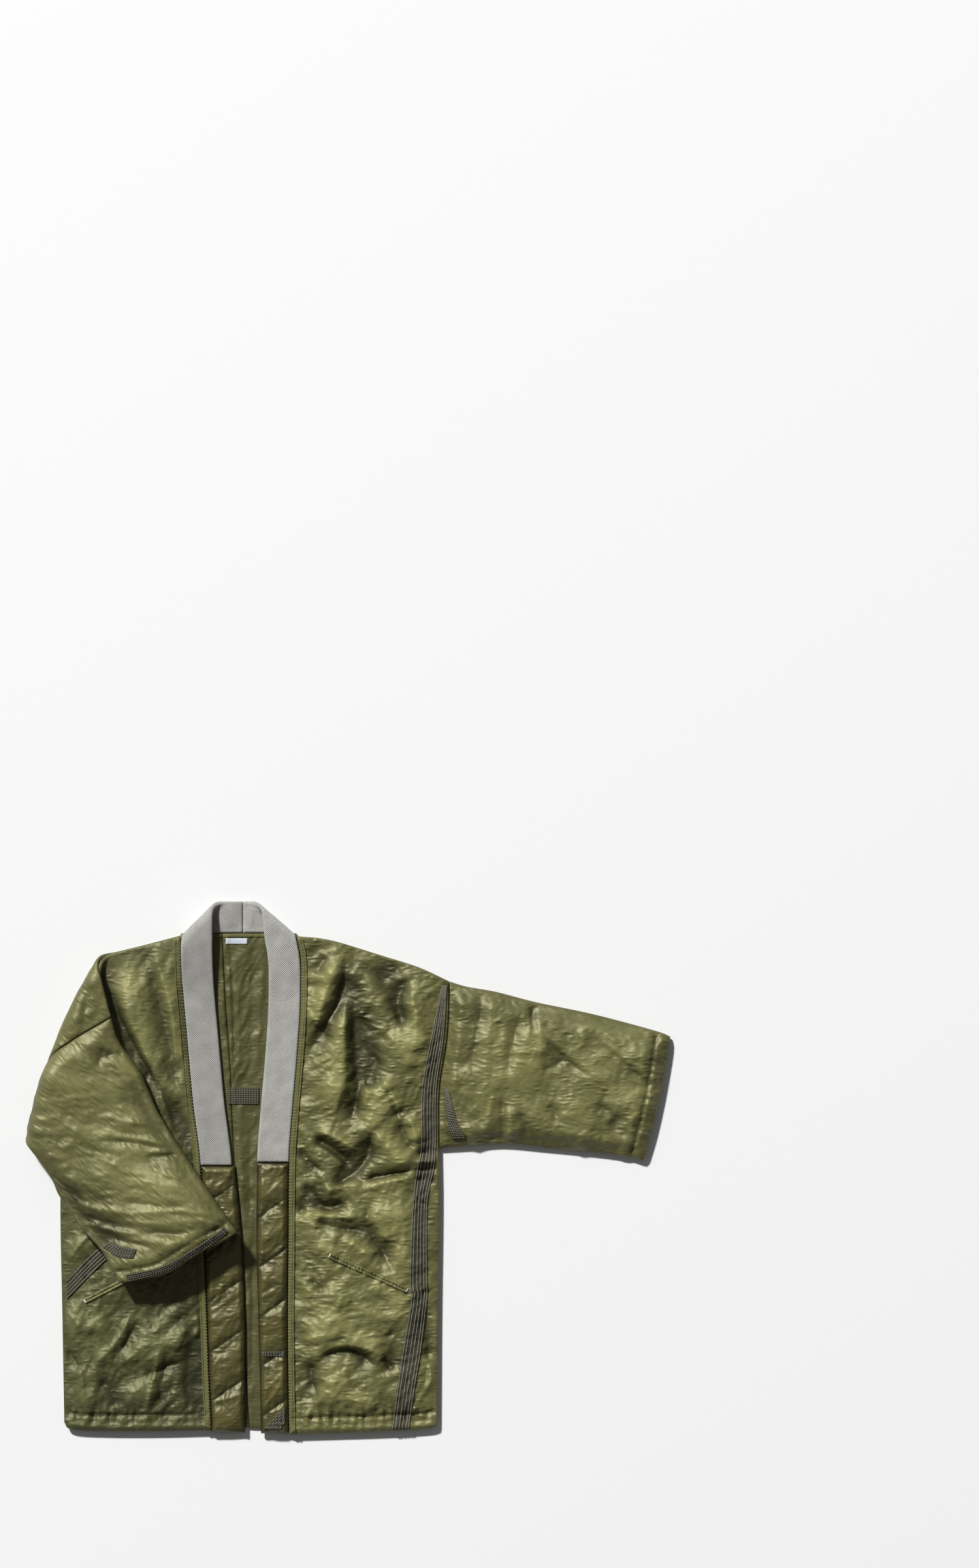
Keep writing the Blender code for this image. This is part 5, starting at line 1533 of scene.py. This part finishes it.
sleeve_left = Sleeve(1, PATTERN_LEFT, 0.0, FOLDS_SLEEVE_LEFT, 201, lay_flat, False)
sleeve_right = Sleeve(-1, PATTERN_RIGHT, CUFF_AIR_RIGHT, FOLDS_SLEEVE_RIGHT, 251, lay_right, True)
make_sleeve("left", sleeve_left)
make_sleeve("right", sleeve_right)

# %% [markdown]
# The collar is a straight band of wool twill in two halves, joined at the centre back. At
# each shoulder it turns down the front. Turning a straight band by a quarter needs a fold
# at half that angle, so each half is rolled over a slanted line and then settled down on
# the back, sliding sideways until its outer edge meets the front's seam.

# %% Where the collar lies
COLLAR_THICK = 7.0
COLLAR_WIDE = 48.0
COLLAR_FOLD_RIGHT = (np.array((-107.0, 758.0)), np.array((-59.0, 807.0)))
COLLAR_FOLD_LEFT = (np.array((2.0, 811.0)), np.array((75.0, 750.0)))
COLLAR_HEIGHT_RIGHT = 14.0
COLLAR_HEIGHT_LEFT = 10.0
COLLAR_SETTLE = 50.0
COLLAR_STAND = 70.0
COLLAR_CENTRE = -14.0
COLLAR_END_RIGHT = 407.0
COLLAR_END_LEFT = 412.0
COLLAR_PLEATS = from_photo([
    ((385, 1384, 386, 1404, 384, 1422), 4, 4, 1.3, 1.6),
    ((392, 1380, 398, 1402, 405, 1424), 4, 3, 1.6, 1.3),
    ((399, 1388, 404, 1404, 410, 1424), 4, 4, -1.2, 1.6),
    ((372, 1380, 372, 1402, 372, 1424), 4, 4, -1.6, 1.5),
    ((350, 1384, 354, 1402, 352, 1422), 6, 6, 0.8, 1.8),
])
print("the collar is", COLLAR_WIDE, "mm wide, with", len(COLLAR_PLEATS), "small pleats")

# %% The collar
COLLAR_FILL = 2.0
COLLAR_TUFTS = 0.7
TUFT_SIZE = 26.0
TUFT_FADE = 10.0
UNDER_FADE = 8.0


def make_collar(side_name, lines, height, seam, end_y, side):
    """Half of the collar, turned down the front at the shoulder."""
    fold = make_fold(lines[0], lines[1], np.array((side, 1.0)), height, COLLAR_THICK / 2)
    low_y = NECK_LINE + SEAM_GAP
    high_y = low_y + COLLAR_WIDE
    start_x = COLLAR_CENTRE + side * SEAM_GAP / 2
    mirror = fold["start"] + fold["out"] * fold["arc"] / 2
    out_x, out_y = fold["out"]

    def drafted_x(y, shown_y):
        """Where a point at a drafted height y must be to show at shown_y once turned."""
        return mirror[0] + ((y - shown_y) / (2 * out_y) - (y - mirror[1]) * out_y) / out_x

    corners = ((start_x, low_y), (drafted_x(low_y, end_y), low_y),
               (drafted_x(high_y, end_y), high_y), (start_x, high_y))
    edges = [smooth_line(pair) for pair in zip(corners, corners[1:] + corners[:1])]
    outline = join_edges(*edges)

    def lay(points):
        """Turn the band down the front and settle it on the back, along its seam."""
        shown, z, turned, past, _, _ = roll_over(points, fold)
        inner = (points[:, 1] - low_y) / COLLAR_WIDE
        shown_y = shown[:, 1]
        edge_x = drafted_x(low_y, shown_y) - (low_y - shown_y) * out_x / out_y
        slide = along(seam, shown_y) - side * SEAM_GAP - edge_x
        rest = 2 * height - COLLAR_THICK - FRONT_BOTTOM - 2 * SEAM_GAP
        settle = rest * smoothstep(past / (COLLAR_SETTLE + COLLAR_STAND * inner))
        return np.column_stack([shown[:, 0] + turned * slide, shown_y, z - settle])

    flat, triangles = fill(outline, COLLAR_FILL)
    depth = from_edge(flat, outline)
    drop = rounded(depth, RIM)
    soft = COLLAR_TUFTS * soft_noise(flat, TUFT_SIZE, 300 + side) * smoothstep(depth / TUFT_FADE)
    before = (flat - mirror) @ fold["out"] < 0
    soft += creases(flat, COLLAR_PLEATS) * before
    top = COLLAR_THICK - drop + np.where(before, soft, 0.0)
    bottom = drop - np.where(before, 0.0, soft) * smoothstep(depth / UNDER_FADE)
    surfaces = [lay(raised(flat, top)), lay(raised(flat, bottom))]
    cloth = wool_left if side > 0 else wool_right
    piece = make_slab("collar_" + side_name, flat, triangles, surfaces, [cloth])
    return finish_piece(piece, "collar_" + side_name, "wool")


make_collar("right", COLLAR_FOLD_RIGHT, COLLAR_HEIGHT_RIGHT, SEAM_RIGHT, COLLAR_END_RIGHT, -1)
make_collar("left", COLLAR_FOLD_LEFT, COLLAR_HEIGHT_LEFT, SEAM_LEFT, COLLAR_END_LEFT, 1)

# %% [markdown]
# Below the collar, quilted bands run on to the hem. Slanted rows of stitches pull the
# wadding down, and it swells between them, with small creases that run into the stitches.

# %% The quilted bands
BAND_THICK = 7.0
BAND_FILL = 2.0
BAND_INNER_RIGHT = ((-2, -10), (150, -10), (190, -11), (290, -15), (407, -26))
BAND_INNER_LEFT = ((-3, 14), (170, 10), (290, 7), (412, 8))
QUILT_STEP = 77.0
QUILT_SLOPE = 0.7
QUILT_START = 12.0
QUILT_PUFF = 5.6
QUILT_FULL = 0.45
BAND_RIPPLES = 1.6
BAND_RIPPLE_SIZE = 9.0
BAND_RIPPLE_LONG = 0.4
BAND_CRUMPLE = (24.0, 2.4)
BAND_TURNS = (35.0, 60.0, 20.0)
BAND_STRETCH = 2.6
BAND_FADE = 9.0
BAND_EDGE = 1.3
BAND_UNDER = 0.6
# Painted light and shade of the quilting, puffs paler and stitched rows darker: of a puff and its
# middle height, a crumple, and painted shade at an edge
PUFF_TONE = 1.9
PUFF_MIDDLE = 3.6
SMALL_TONE = 1.2
BAND_EDGE_SHADE = 2.0
FOLDS_BAND = from_photo([
    ((400, 1800, 410, 1822, 425, 1838), 5, 5, 2.0, 1.5),
    ((396, 1836, 412, 1826, 432, 1806), 5, 5, 1.6, 1.5),
    ((402, 1900, 418, 1888, 436, 1872), 5, 6, 1.8, 1.5),
    ((396, 1952, 412, 1960, 434, 1958), 5, 5, 1.8, 1.5),
    ((398, 1984, 414, 1970, 436, 1966), 5, 5, -1.6, 1.6),
    ((400, 2020, 420, 2012, 438, 2018), 5, 5, 1.8, 1.5),
    ((326, 1992, 344, 1976, 362, 1972), 5, 5, 1.8, 1.5),
    ((330, 2036, 346, 2044, 366, 2040), 5, 5, 1.8, 1.5),
    ((336, 2072, 352, 2058, 368, 2046), 5, 5, -1.6, 1.6),
    ((328, 2110, 346, 2120, 362, 2112), 5, 5, 2.0, 1.5),
    ((340, 2080, 338, 2104, 350, 2120), 5, 5, 1.6, 1.5),
    ((324, 2140, 340, 2150, 356, 2164), 4, 4, -1.6, 1.5),
    ((414, 2084, 424, 2104, 420, 2140), 5, 5, 1.6, 1.5),
    ((436, 2084, 428, 2120, 416, 2148), 4, 4, 1.4, 1.4),
])
print("the bands have", len(FOLDS_BAND), "small creases and a row of stitches every", QUILT_STEP)


# %% A quilted band's shape
class Band:
    """A quilted band's shape."""

    def __init__(self, side, seam, inner_table, end_y, seed):
        self.seed = seed
        heights = np.arange(inner_table[0][0], end_y - SEAM_GAP + 0.01, EDGE_STEP)
        heights[-1] = end_y - SEAM_GAP
        outer = np.column_stack([along(seam, heights) - side * SEAM_GAP, heights])
        inner = np.column_stack([along(inner_table, heights), heights])
        self.outline = join_edges(outer, inner[::-1])

    def heights(self, flat):
        """The top of the quilted cloth."""
        depth = from_edge(flat, self.outline)
        phase = (flat[:, 1] - QUILT_START - QUILT_SLOPE * flat[:, 0]) / QUILT_STEP
        puffs = QUILT_PUFF * np.abs(np.sin(math.pi * phase)) ** QUILT_FULL
        place = np.column_stack([flat[:, 0], BAND_RIPPLE_LONG * flat[:, 1]])
        ripples = BAND_RIPPLES * soft_noise(place, BAND_RIPPLE_SIZE, self.seed)
        ripples *= np.abs(np.cos(math.pi * phase)) ** 4
        small = crumpled(flat, *BAND_CRUMPLE, self.seed + 3, BAND_TURNS, BAND_STRETCH)
        small += creases(flat, FOLDS_BAND)
        relief = (puffs + ripples + small) * smoothstep(depth / BAND_FADE)
        top = FRONT_BOTTOM + BAND_THICK + relief
        # Painted light and shade: puffs paler and the stitched rows between them darker, crumples
        # paler on crests, and painted shade along the edges
        self.rise = PUFF_TONE * (puffs - PUFF_MIDDLE) + SMALL_TONE * small
        self.rise -= BAND_EDGE_SHADE * rounded(depth, BAND_FADE)
        return top - rounded(depth, RIM) * BAND_EDGE

    def place(self, flat, above=0.0):
        """Points a little above the band's face."""
        return raised(flat, self.heights(flat) + above)


def make_band(side_name, band):
    """A quilted band as one closed skin."""
    flat, triangles = fill(band.outline, BAND_FILL)
    bottom = FRONT_BOTTOM + BAND_UNDER * rounded(from_edge(flat, band.outline), RIM)
    surfaces = [band.place(flat), raised(flat, bottom)]
    piece = make_slab("quilted_band_" + side_name, flat, triangles, surfaces, [quilted_nylon],
                      rise=band.rise)
    return finish_piece(piece, "quilted_band_" + side_name, "quilted_nylon")


band_right = Band(-1, SEAM_RIGHT, BAND_INNER_RIGHT, COLLAR_END_RIGHT, 401)
band_left = Band(1, SEAM_LEFT, BAND_INNER_LEFT, COLLAR_END_LEFT, 411)
make_band("right", band_right)
make_band("left", band_left)

# %% [markdown]
# Tapes, edgings and welts are strips sewn on a face. Each is a grid between its two long
# edges, dropped onto the face below, so that it rises and sinks with the creases. Its own
# profile across and along gives a cord, a slit or a row of ruches.

# %% The edges of a strip
STRIP_STEP = 1.7


def walk(line, count):
    """Points evenly spaced along a line."""
    long = np.append(0.0, np.cumsum(np.linalg.norm(np.diff(line, axis=0), axis=1)))
    share = np.linspace(0.0, long[-1], count)
    return np.column_stack([np.interp(share, long, line[:, 0]), np.interp(share, long, line[:, 1])])


def strip_edges(rows, step=STRIP_STEP):
    """The two long edges of a strip, with the same number of points."""
    rows = np.array(rows, float)
    edges = [smooth_line(rows[:, :2], step), smooth_line(rows[:, 2:], step)]
    count = max(len(edge) for edge in edges)
    return [walk(edge, count) for edge in edges]


print("strip steps of", STRIP_STEP, "mm")

# %% Strips that follow a face
TAPE_THICK = 1.2
TAPE_ROUND = 1.2
TAPE_EDGE = 0.5
STRIP_LAYERS = (0, 9)


def flat_profile(across, down, wide):
    """A flat tape with softened edges."""
    return -TAPE_EDGE * rounded(np.minimum(across, wide - across), TAPE_ROUND)


def make_strip(name, host, edges, columns, cloth, profile=flat_profile, thick=TAPE_THICK):
    """A strip laid on a host's face between two edges, as one closed skin."""
    one, other = edges
    count = len(one)
    wide = float(np.linalg.norm(other - one, axis=1).mean())
    long = float(np.linalg.norm(np.diff(one, axis=0), axis=1).sum())
    shares = np.linspace(0.0, 1.0, columns)
    flat = np.vstack([one + (other - one) * share for share in shares])
    across = np.repeat(shares * wide, count)
    down = np.tile(np.linspace(0.0, long, count), columns)
    top = host.place(flat, SEAM_GAP + thick + profile(across, down, wide))
    points = np.vstack([top, host.place(flat, SEAM_GAP)])
    grid = np.arange(columns * count).reshape(columns, count)
    cells = np.stack([grid[:-1, :-1], grid[1:, :-1], grid[1:, 1:], grid[:-1, 1:]], -1)
    cells = cells.reshape(-1, 4)
    border = np.concatenate([grid[0, :], grid[1:, -1], grid[-1, -2::-1], grid[-2:0:-1, 0]])
    after = np.roll(border, -1)
    under = columns * count
    walls = np.stack([border, after, after + under, border + under], -1)
    faces = np.vstack([cells, cells[:, ::-1] + under, walls])
    a, b, c = (points[cells[:, corner]] for corner in range(3))
    if np.cross(b - a, c - a)[:, 2].sum() < 0:
        faces = faces[:, ::-1]
    cut = np.vstack([np.column_stack([across, down, np.full(len(flat), layer)])
                     for layer in STRIP_LAYERS])
    piece = add_cloth(name, points, faces.tolist(), cut, [cloth])
    a, b, c, d = (flat[cells[:, corner]] for corner in range(4))
    first, second = c - a, d - b
    area = np.abs(first[:, 0] * second[:, 1] - first[:, 1] * second[:, 0]).sum() / 2
    piece["cut_size"] = (round(area / long * MM, 4), round(long * MM, 4))
    return piece


print("a tape is", TAPE_THICK, "mm thick")


# %% The inside of the back as a face to sew on
class BackFace:
    """The inside face of the back, for what is sewn on it."""

    def __init__(self, outline):
        self.outline = outline

    def place(self, flat, above=0.0):
        """Points a little above the inside face."""
        return raised(flat, back_inside(flat, self.outline) + above)


back_face_left = BackFace(back_outline(PATTERN_LEFT, 1))
back_face_right = BackFace(back_outline(PATTERN_RIGHT, -1))
print("the back's inside lies", WALL, "mm high")

# %% [markdown]
# Each front ends at its seam with the band in a narrow edging: a plaited cord, and beside it
# a thin piping. Both are half round, so one strip with that profile makes the pair.

# %% Edgings
CORD_WIDE = 6.2
CORD_HIGH = 1.5
PLAIT_STEP = 4.6
PLAIT_MEAN = 0.72
PLAIT_SWING = 0.28
PIPING_WIDE = 2.6
PIPING_HIGH = 1.7
PIPING_GAP = 0.8
EDGING_LOW = -4.0
EDGING_HIGH = 752.0
EDGING_STEP = 1.15
EDGING_SINK = 0.5
EDGING_CLEAR = 0.3
EDGING_COLUMNS = 17


def domed(share):
    """The height of a half circle at a share of its radius from its middle."""
    return np.sqrt(np.clip(1 - share ** 2, 0, 1))


def edging_profile(across, down, wide):
    """A plaited cord beside a thin piping."""
    cord = CORD_HIGH * domed((across - CORD_WIDE / 2) / (CORD_WIDE / 2))
    slant = np.abs(across - CORD_WIDE / 2)
    plaited = np.cos(2 * math.pi * (down + slant) / PLAIT_STEP)
    cord = cord * (PLAIT_MEAN + PLAIT_SWING * plaited)
    middle = CORD_WIDE + PIPING_GAP + PIPING_WIDE / 2
    piping = PIPING_HIGH * domed((across - middle) / (PIPING_WIDE / 2))
    return np.where(across < CORD_WIDE, cord, piping) - EDGING_SINK


def make_edging(side_name, side, host, seam):
    """The edging beside a front's seam, from the hem to the shoulder."""
    heights = np.arange(EDGING_LOW, EDGING_HIGH, EDGING_STEP)
    low = host.hem_line[:, 1].min() - HEM_DEEP + 1.0
    heights = heights[heights > low]
    inner = np.column_stack([along(seam, heights) + side * (SEAM_GAP + EDGING_CLEAR), heights])
    outer = inner + np.array((side * (CORD_WIDE + PIPING_GAP + PIPING_WIDE), 0.0))
    piece = make_strip("front_binding_" + side_name, host, (inner, outer), EDGING_COLUMNS,
                       binding, edging_profile)
    return finish_piece(piece, "front_binding_" + side_name, "binding")


make_edging("left", 1, front_left, SEAM_LEFT)
make_edging("right", -1, front_right, SEAM_RIGHT)

# %% [markdown]
# A pocket shows as a narrow welt: a dark slit between two lips of nylon, ruched into small
# beads by their stitches. The bag behind it stays hidden, so only the welt is made.

# %% Pocket welts
LIP_HIGH = 1.3
LIP_MIDDLE = 2.2
LIP_REACH = 2.0
BEAD_STEP = 5.2
BEAD_SHIFT = 1.4
BEAD_MEAN = 0.6
BEAD_SWING = 0.4
RUCHE_SIZE = 24.0
RUCHE_LEAST = 0.35
RUCHE_SPAN = 0.65
SLIT_DEEP = 0.9
SLIT_REACH = 0.8
POCKET_LEFT = (119, 270, 237, 217)
POCKET_RIGHT = (-119, 270, -255, 200)
WELT_WIDE = 8.0
WELT_STEP = 0.9
WELT_COLUMNS = 13


def slit_edges(slit, wide=WELT_WIDE):
    """The long edges of a pocket welt along its slit."""
    start, end = np.array(slit[:2], float), np.array(slit[2:], float)
    run = (end - start) / np.linalg.norm(end - start)
    side = np.array((-run[1], run[0])) * wide / 2
    rows = [(*(start + side), *(start - side)), (*(end + side), *(end - side))]
    return strip_edges(rows, WELT_STEP)


def welt_profile(across, down, wide):
    """Two ruched lips with a slit between them."""
    from_slit = np.abs(across - wide / 2)
    lip = LIP_HIGH * domed((from_slit - LIP_MIDDLE) / LIP_REACH)
    turn = 2 * math.pi * (down + BEAD_SHIFT * np.sign(across - wide / 2)) / BEAD_STEP
    beads = BEAD_MEAN + BEAD_SWING * np.cos(turn)
    ruches = soft_noise(np.column_stack([down, 0 * down]), RUCHE_SIZE, 71).clip(0, 1)
    ruched = RUCHE_LEAST + RUCHE_SPAN * ruches
    slit = SLIT_DEEP * np.exp(-(from_slit / SLIT_REACH) ** 2)
    return lip * (1 - ruched * (1 - beads)) - slit


for side_name, host, slit in (("left", front_left, POCKET_LEFT),
                              ("right", front_right, POCKET_RIGHT)):
    welt = make_strip("pocket_welt_" + side_name, host, slit_edges(slit), WELT_COLUMNS, nylon,
                      welt_profile)
    finish_piece(welt, "pocket_welt_" + side_name, "nylon")

# %% [markdown]
# Charcoal tapes cover some seams. Rows of pale stitches run down the plain ones; the others
# are plaited. The strips here carry only the cloth: the threads come after.

# %% Tapes, neck edging and label
TAPE_FRONT_LEFT = (
    (291, 682, 298, 682), (275, 606, 294, 606), (260, 524, 283, 524), (259, 440, 282, 440),
    (252, 400, 279, 400), (246, 346, 269, 346), (241, 230, 269, 230), (244, 205, 269, 205),
    (231, 127, 260, 127), (222, 66, 250, 66), (214, 3, 241, 5),
)
TAPE_SIDE_RIGHT = ((-196, 308, -180, 292), (-240, 276, -226, 258), (-283, 232, -282, 202))
TAPE_SLEEVE_LEFT = ((294, 528, 301, 522), (298, 480, 314, 475), (308, 446, 329, 446))
TAPE_CUFF_RIGHT = (
    (-600, 406, -611, 400), (-630, 450, -641, 448), (-644, 488, -654, 486),
    (-654, 527, -664, 525), (-660, 560, -670, 560),
)
TAPE_SLEEVE_RIGHT = ((-546, 411, -548, 425), (-572, 417, -568, 433), (-592, 432, -586, 446))
TAPE_BAND_UPPER = ((15, 115, 15, 123), (51, 115, 51, 123))
TAPE_BAND_LOWER = ((18, 4, 44, 3), (52, 40, 52, 16))
TAPE_BACK = ((-36, 500, -36, 526), (11, 500, 11, 526))
NECK_EDGING_RIGHT = ((-90, 755.6, -90, 761.2), (-46.5, 755.6, -46.5, 761.2))
NECK_EDGING_LEFT = ((-45.2, 755.6, -45.2, 761.2), (40, 755.6, 40, 761.2))
LABEL_ROWS = ((LABEL_X[0], LABEL_Y[0], LABEL_X[0], LABEL_Y[1]),
              (LABEL_X[1], LABEL_Y[0], LABEL_X[1], LABEL_Y[1]))
# For each strip: what it lies on, its rows, points across, cloth, slot, whether its cut is
# stated, and the node below it
TAPES = {
    "seam_tape_left": (front_left, TAPE_FRONT_LEFT, 15, tape, "tape", True, "front_left"),
    "seam_tape_right": (front_right, TAPE_SIDE_RIGHT, 13, tape, "tape", True, "front_right"),
    "sleeve_tape_left": (sleeve_left, TAPE_SLEEVE_LEFT, 9, tape, "tape", True, "sleeve_left"),
    "cuff_tape_right": (sleeve_right, TAPE_CUFF_RIGHT, 9, tape, "tape", False, "sleeve_right"),
    "sleeve_tape_right": (sleeve_right, TAPE_SLEEVE_RIGHT, 9, tape, "tape", True, "sleeve_right"),
    "band_tape_upper": (band_left, TAPE_BAND_UPPER, 7, tape, "tape", False, "quilted_band_left"),
    "band_tape_lower": (band_left, TAPE_BAND_LOWER, 13, tape, "tape", True, "quilted_band_left"),
    "back_tape": (back_face_left, TAPE_BACK, 13, tape, "tape", True, "back_left"),
    "neck_binding_right": (back_face_right, NECK_EDGING_RIGHT, 7, binding, "binding", False,
                           "back_right"),
    "neck_binding_left": (back_face_left, NECK_EDGING_LEFT, 7, binding, "binding", False,
                          "back_left"),
    "neck_label": (back_face_left, LABEL_ROWS, 9, label, "label", False, "back_left"),
}
for name, (host, rows, columns, cloth, slot, stated, below) in TAPES.items():
    piece = make_strip(name, host, strip_edges(rows), columns, cloth)
    finish_piece(piece, name, slot)

# %% [markdown]
# Stitches are small rounded pieces of thread, each dipping into the cloth at both ends. All
# threads of one colour make one mesh, since nobody would move a single stitch.

# %% Threads
STITCH_SIDES = 5
STITCH_ENDS = (0.2, 0.8)
STITCH_DIP = 0.8
STITCH_POINTS = 2 + STITCH_SIDES * len(STITCH_ENDS)
STITCH_UNEVEN = (0.92, 1.04)
THREAD_STEP = 2.0


class Threads:
    """Stitches of one colour."""

    def __init__(self, name, cloth):
        self.name, self.cloth = name, cloth
        self.points, self.faces, self.cut = [], [], []

    def sew(self, starts, ends, wide):
        """Add a stitch from each start to each end."""
        run = ends - starts
        long = np.linalg.norm(run, axis=1)[:, None] + 1e-9
        sideways = np.cross(run / long, (0.0, 0.0, 1.0))
        sideways /= np.linalg.norm(sideways, axis=1)[:, None] + 1e-9
        upward = np.cross(sideways, run / long)
        radius = wide / 2
        rings = []
        for share in STITCH_ENDS:
            for turn in np.linspace(0, 2 * math.pi, STITCH_SIDES + 1)[:-1]:
                rings.append(starts + share * run + radius * (
                    math.cos(turn) * sideways + math.sin(turn) * upward))
        dip = STITCH_DIP * radius * upward
        own = np.stack([starts - dip, ends - dip] + rings, axis=1)
        pattern = []
        near, far = 2, 2 + STITCH_SIDES
        for k in range(STITCH_SIDES):
            after = (k + 1) % STITCH_SIDES
            pattern += [(near + k, near + after, far + after, far + k),
                        (0, near + after, near + k), (1, far + k, far + after)]
        for stitch in own:
            first = len(self.points)
            self.points += stitch.tolist()
            self.cut += (stitch - stitch[0]).tolist()
            self.faces += [tuple(first + corner for corner in face) for face in pattern]

    def row(self, host, line, long, gap, wide, slant=0.0, above=0.4, seed=1):
        """A row of stitches along a line on a host's face."""
        line = smooth_line(line, THREAD_STEP)
        far = np.append(0.0, np.cumsum(np.linalg.norm(np.diff(line, axis=0), axis=1)))
        random = np.random.default_rng(seed)
        count = max(1, int(far[-1] / (long + gap)))
        centres = (np.arange(count) + 0.5) * far[-1] / count
        half = long / 2 * random.uniform(*STITCH_UNEVEN, count)
        middle, before, after = (np.column_stack([np.interp(place, far, line[:, 0]),
                                                  np.interp(place, far, line[:, 1])])
                                 for place in (centres, centres - 0.5, centres + 0.5))
        run = (after - before) / (np.linalg.norm(after - before, axis=1)[:, None] + 1e-9)
        step = run * half[:, None] + np.column_stack([-run[:, 1], run[:, 0]]) * slant
        placed = host.place(np.vstack([middle - step, middle + step]), above)
        self.sew(placed[:count], placed[count:], wide)

    def finish(self):
        """One mesh of all the stitches."""
        piece = add_cloth(self.name, np.array(self.points), self.faces, np.array(self.cut),
                          [self.cloth])
        return finish_piece(piece, None, None)


print("a stitch has", STITCH_POINTS, "points")


# %% Three colours of thread
def between(edges, share):
    """A line at a share of the way between a strip's edges."""
    return (edges[0] + (edges[1] - edges[0]) * share)[::4]


pale = Threads("pale_stitches", pale_thread)
olive = Threads("olive_stitches", olive_thread)
white = Threads("white_tacks", white_thread)
print("threads:", [threads.name for threads in (pale, olive, white)])

# %% [markdown]
# The plain tapes carry rows of long stitches so close that they read as cords, so each row is
# one narrow strip with a beaded top. The other tapes are plaited: columns of short stitches
# lean to one side and the other in turn.

# %% Cords and plaits
ON_TAPE = SEAM_GAP + TAPE_THICK + 0.35
CORD_STEP = 2.2
CORD_LONG = 7.0
CORD_RISE = 1.2
CORD_MEAN = 0.75
CORD_SWING = 0.25


def cord_profile(across, down, wide):
    """A row of stitches, each a little rounded."""
    beads = CORD_MEAN + CORD_SWING * np.abs(np.sin(math.pi * down / CORD_LONG))
    return CORD_RISE * domed(2 * across / wide - 1) * beads


def lay_cords(name, host, rows, shares, wide=1.9):
    """Rows of close stitches down a tape, each a cord of thread that follows the cloth."""
    one, other = strip_edges(rows, CORD_STEP)
    step = (other - one) / np.linalg.norm(other - one, axis=1)[:, None]
    for count, share in enumerate(shares):
        middle = one + (other - one) * share
        edges = (middle - step * wide / 2, middle + step * wide / 2)
        piece = make_strip(name + "_%d" % (count + 1), host, edges, 5, pale_thread, cord_profile)
        finish_piece(piece, None, None)


lay_cords("seam_cord_left", front_left, TAPE_FRONT_LEFT, (0.06, 0.2, 0.42, 0.6, 0.8, 0.94))
lay_cords("seam_cord_right", front_right, TAPE_SIDE_RIGHT, (0.08, 0.3, 0.5, 0.68, 0.9))


def plait(threads, host, rows, columns, long=3.4, wide=1.7, slant=0.9, seed=1):
    """Columns of slanted stitches that read as a plaited tape."""
    edges = strip_edges(rows)
    for column in range(columns):
        share = (column + 0.5) / columns
        lean = slant if column % 2 else -slant
        threads.row(host, between(edges, share), long, 0.5, wide, lean, ON_TAPE, seed + column)


plait(pale, sleeve_left, TAPE_SLEEVE_LEFT, 6)
plait(pale, sleeve_right, TAPE_CUFF_RIGHT, 4)
plait(pale, sleeve_right, TAPE_SLEEVE_RIGHT, 6)
plait(pale, band_left, TAPE_BAND_UPPER, 3)
plait(pale, band_left, TAPE_BAND_LOWER, 6, long=7.0, slant=0.5)
plait(pale, back_face_left, TAPE_BACK, 8)
print("pale stitches", len(pale.points) // STITCH_POINTS)

# %% [markdown]
# Olive thread closes the hems, the cuffs, the bands' quilting and the pocket lips, and
# overcasts the edging. Short white bars of thread lock the ends of the pocket slits.

# %% Hems, cuffs, quilting and tacks
OVERCAST = 4.8
# Rows of overcasting along an edging: how far in from its edge, and the stitches' length
OVERCAST_ROWS = ((0.9, 2.2), (CORD_WIDE - 0.6, 1.8))
OVERCAST_WIDE = 1.1
THREAD_WIDE = 0.9
HEM_STITCH = (3.0, 0.6)
QUILT_STITCH = (2.8, 0.9)
LIP_STITCH = (2.6, 0.8)
TACK_WIDE = 1.5
TACK_STEP = 1.1 * np.array((1.0, 0.4))
ON_FACE = 0.15
for side, host, seam in ((1, front_left, SEAM_LEFT), (-1, front_right, SEAM_RIGHT)):
    olive.row(host, host.hem_line[2:-2][::3], *HEM_STITCH, THREAD_WIDE, 0.0, ON_FACE, 21)
    heights = np.arange(6.0, EDGING_HIGH, OVERCAST)
    for offset, long in OVERCAST_ROWS:
        line = np.column_stack([along(seam, heights) + side * offset, heights])
        olive.row(host, line, long, OVERCAST - long, OVERCAST_WIDE, 0.9 * side, ON_TAPE + 0.4, 23)
for host in (sleeve_left, sleeve_right):
    olive.row(host, host.hem_line[1:-1][::2], *HEM_STITCH, THREAD_WIDE, 0.0, ON_FACE, 25)
for band, seam, inner_table in ((band_right, SEAM_RIGHT, BAND_INNER_RIGHT),
                                (band_left, SEAM_LEFT, BAND_INNER_LEFT)):
    for count in range(-1, 8):
        start_y = QUILT_START + count * QUILT_STEP
        x = np.arange(-90.0, 90.0, 2.0)
        line = np.column_stack([x, start_y + QUILT_SLOPE * x])
        line = line[inside(line, band.outline)]
        line = line[from_edge(line, band.outline) > 3.0]
        if len(line) > 4:
            olive.row(band, line[::3], *QUILT_STITCH, THREAD_WIDE, 0.0, ON_FACE, 27 + count)
for host, slit in ((front_left, POCKET_LEFT), (front_right, POCKET_RIGHT)):
    edges = slit_edges(slit)
    for share in (0.02, 0.98):
        olive.row(host, between(edges, share), *LIP_STITCH, THREAD_WIDE, 0.0, ON_TAPE - 0.4, 31)
    for place in (0, -1):
        tack = np.array([edges[0][place], edges[1][place]])
        spread = host.place(np.vstack([tack, tack + TACK_STEP]), ON_TAPE + 0.3)
        white.sew(spread[[0, 2]], spread[[1, 3]], TACK_WIDE)
for threads in (pale, olive, white):
    threads.finish()
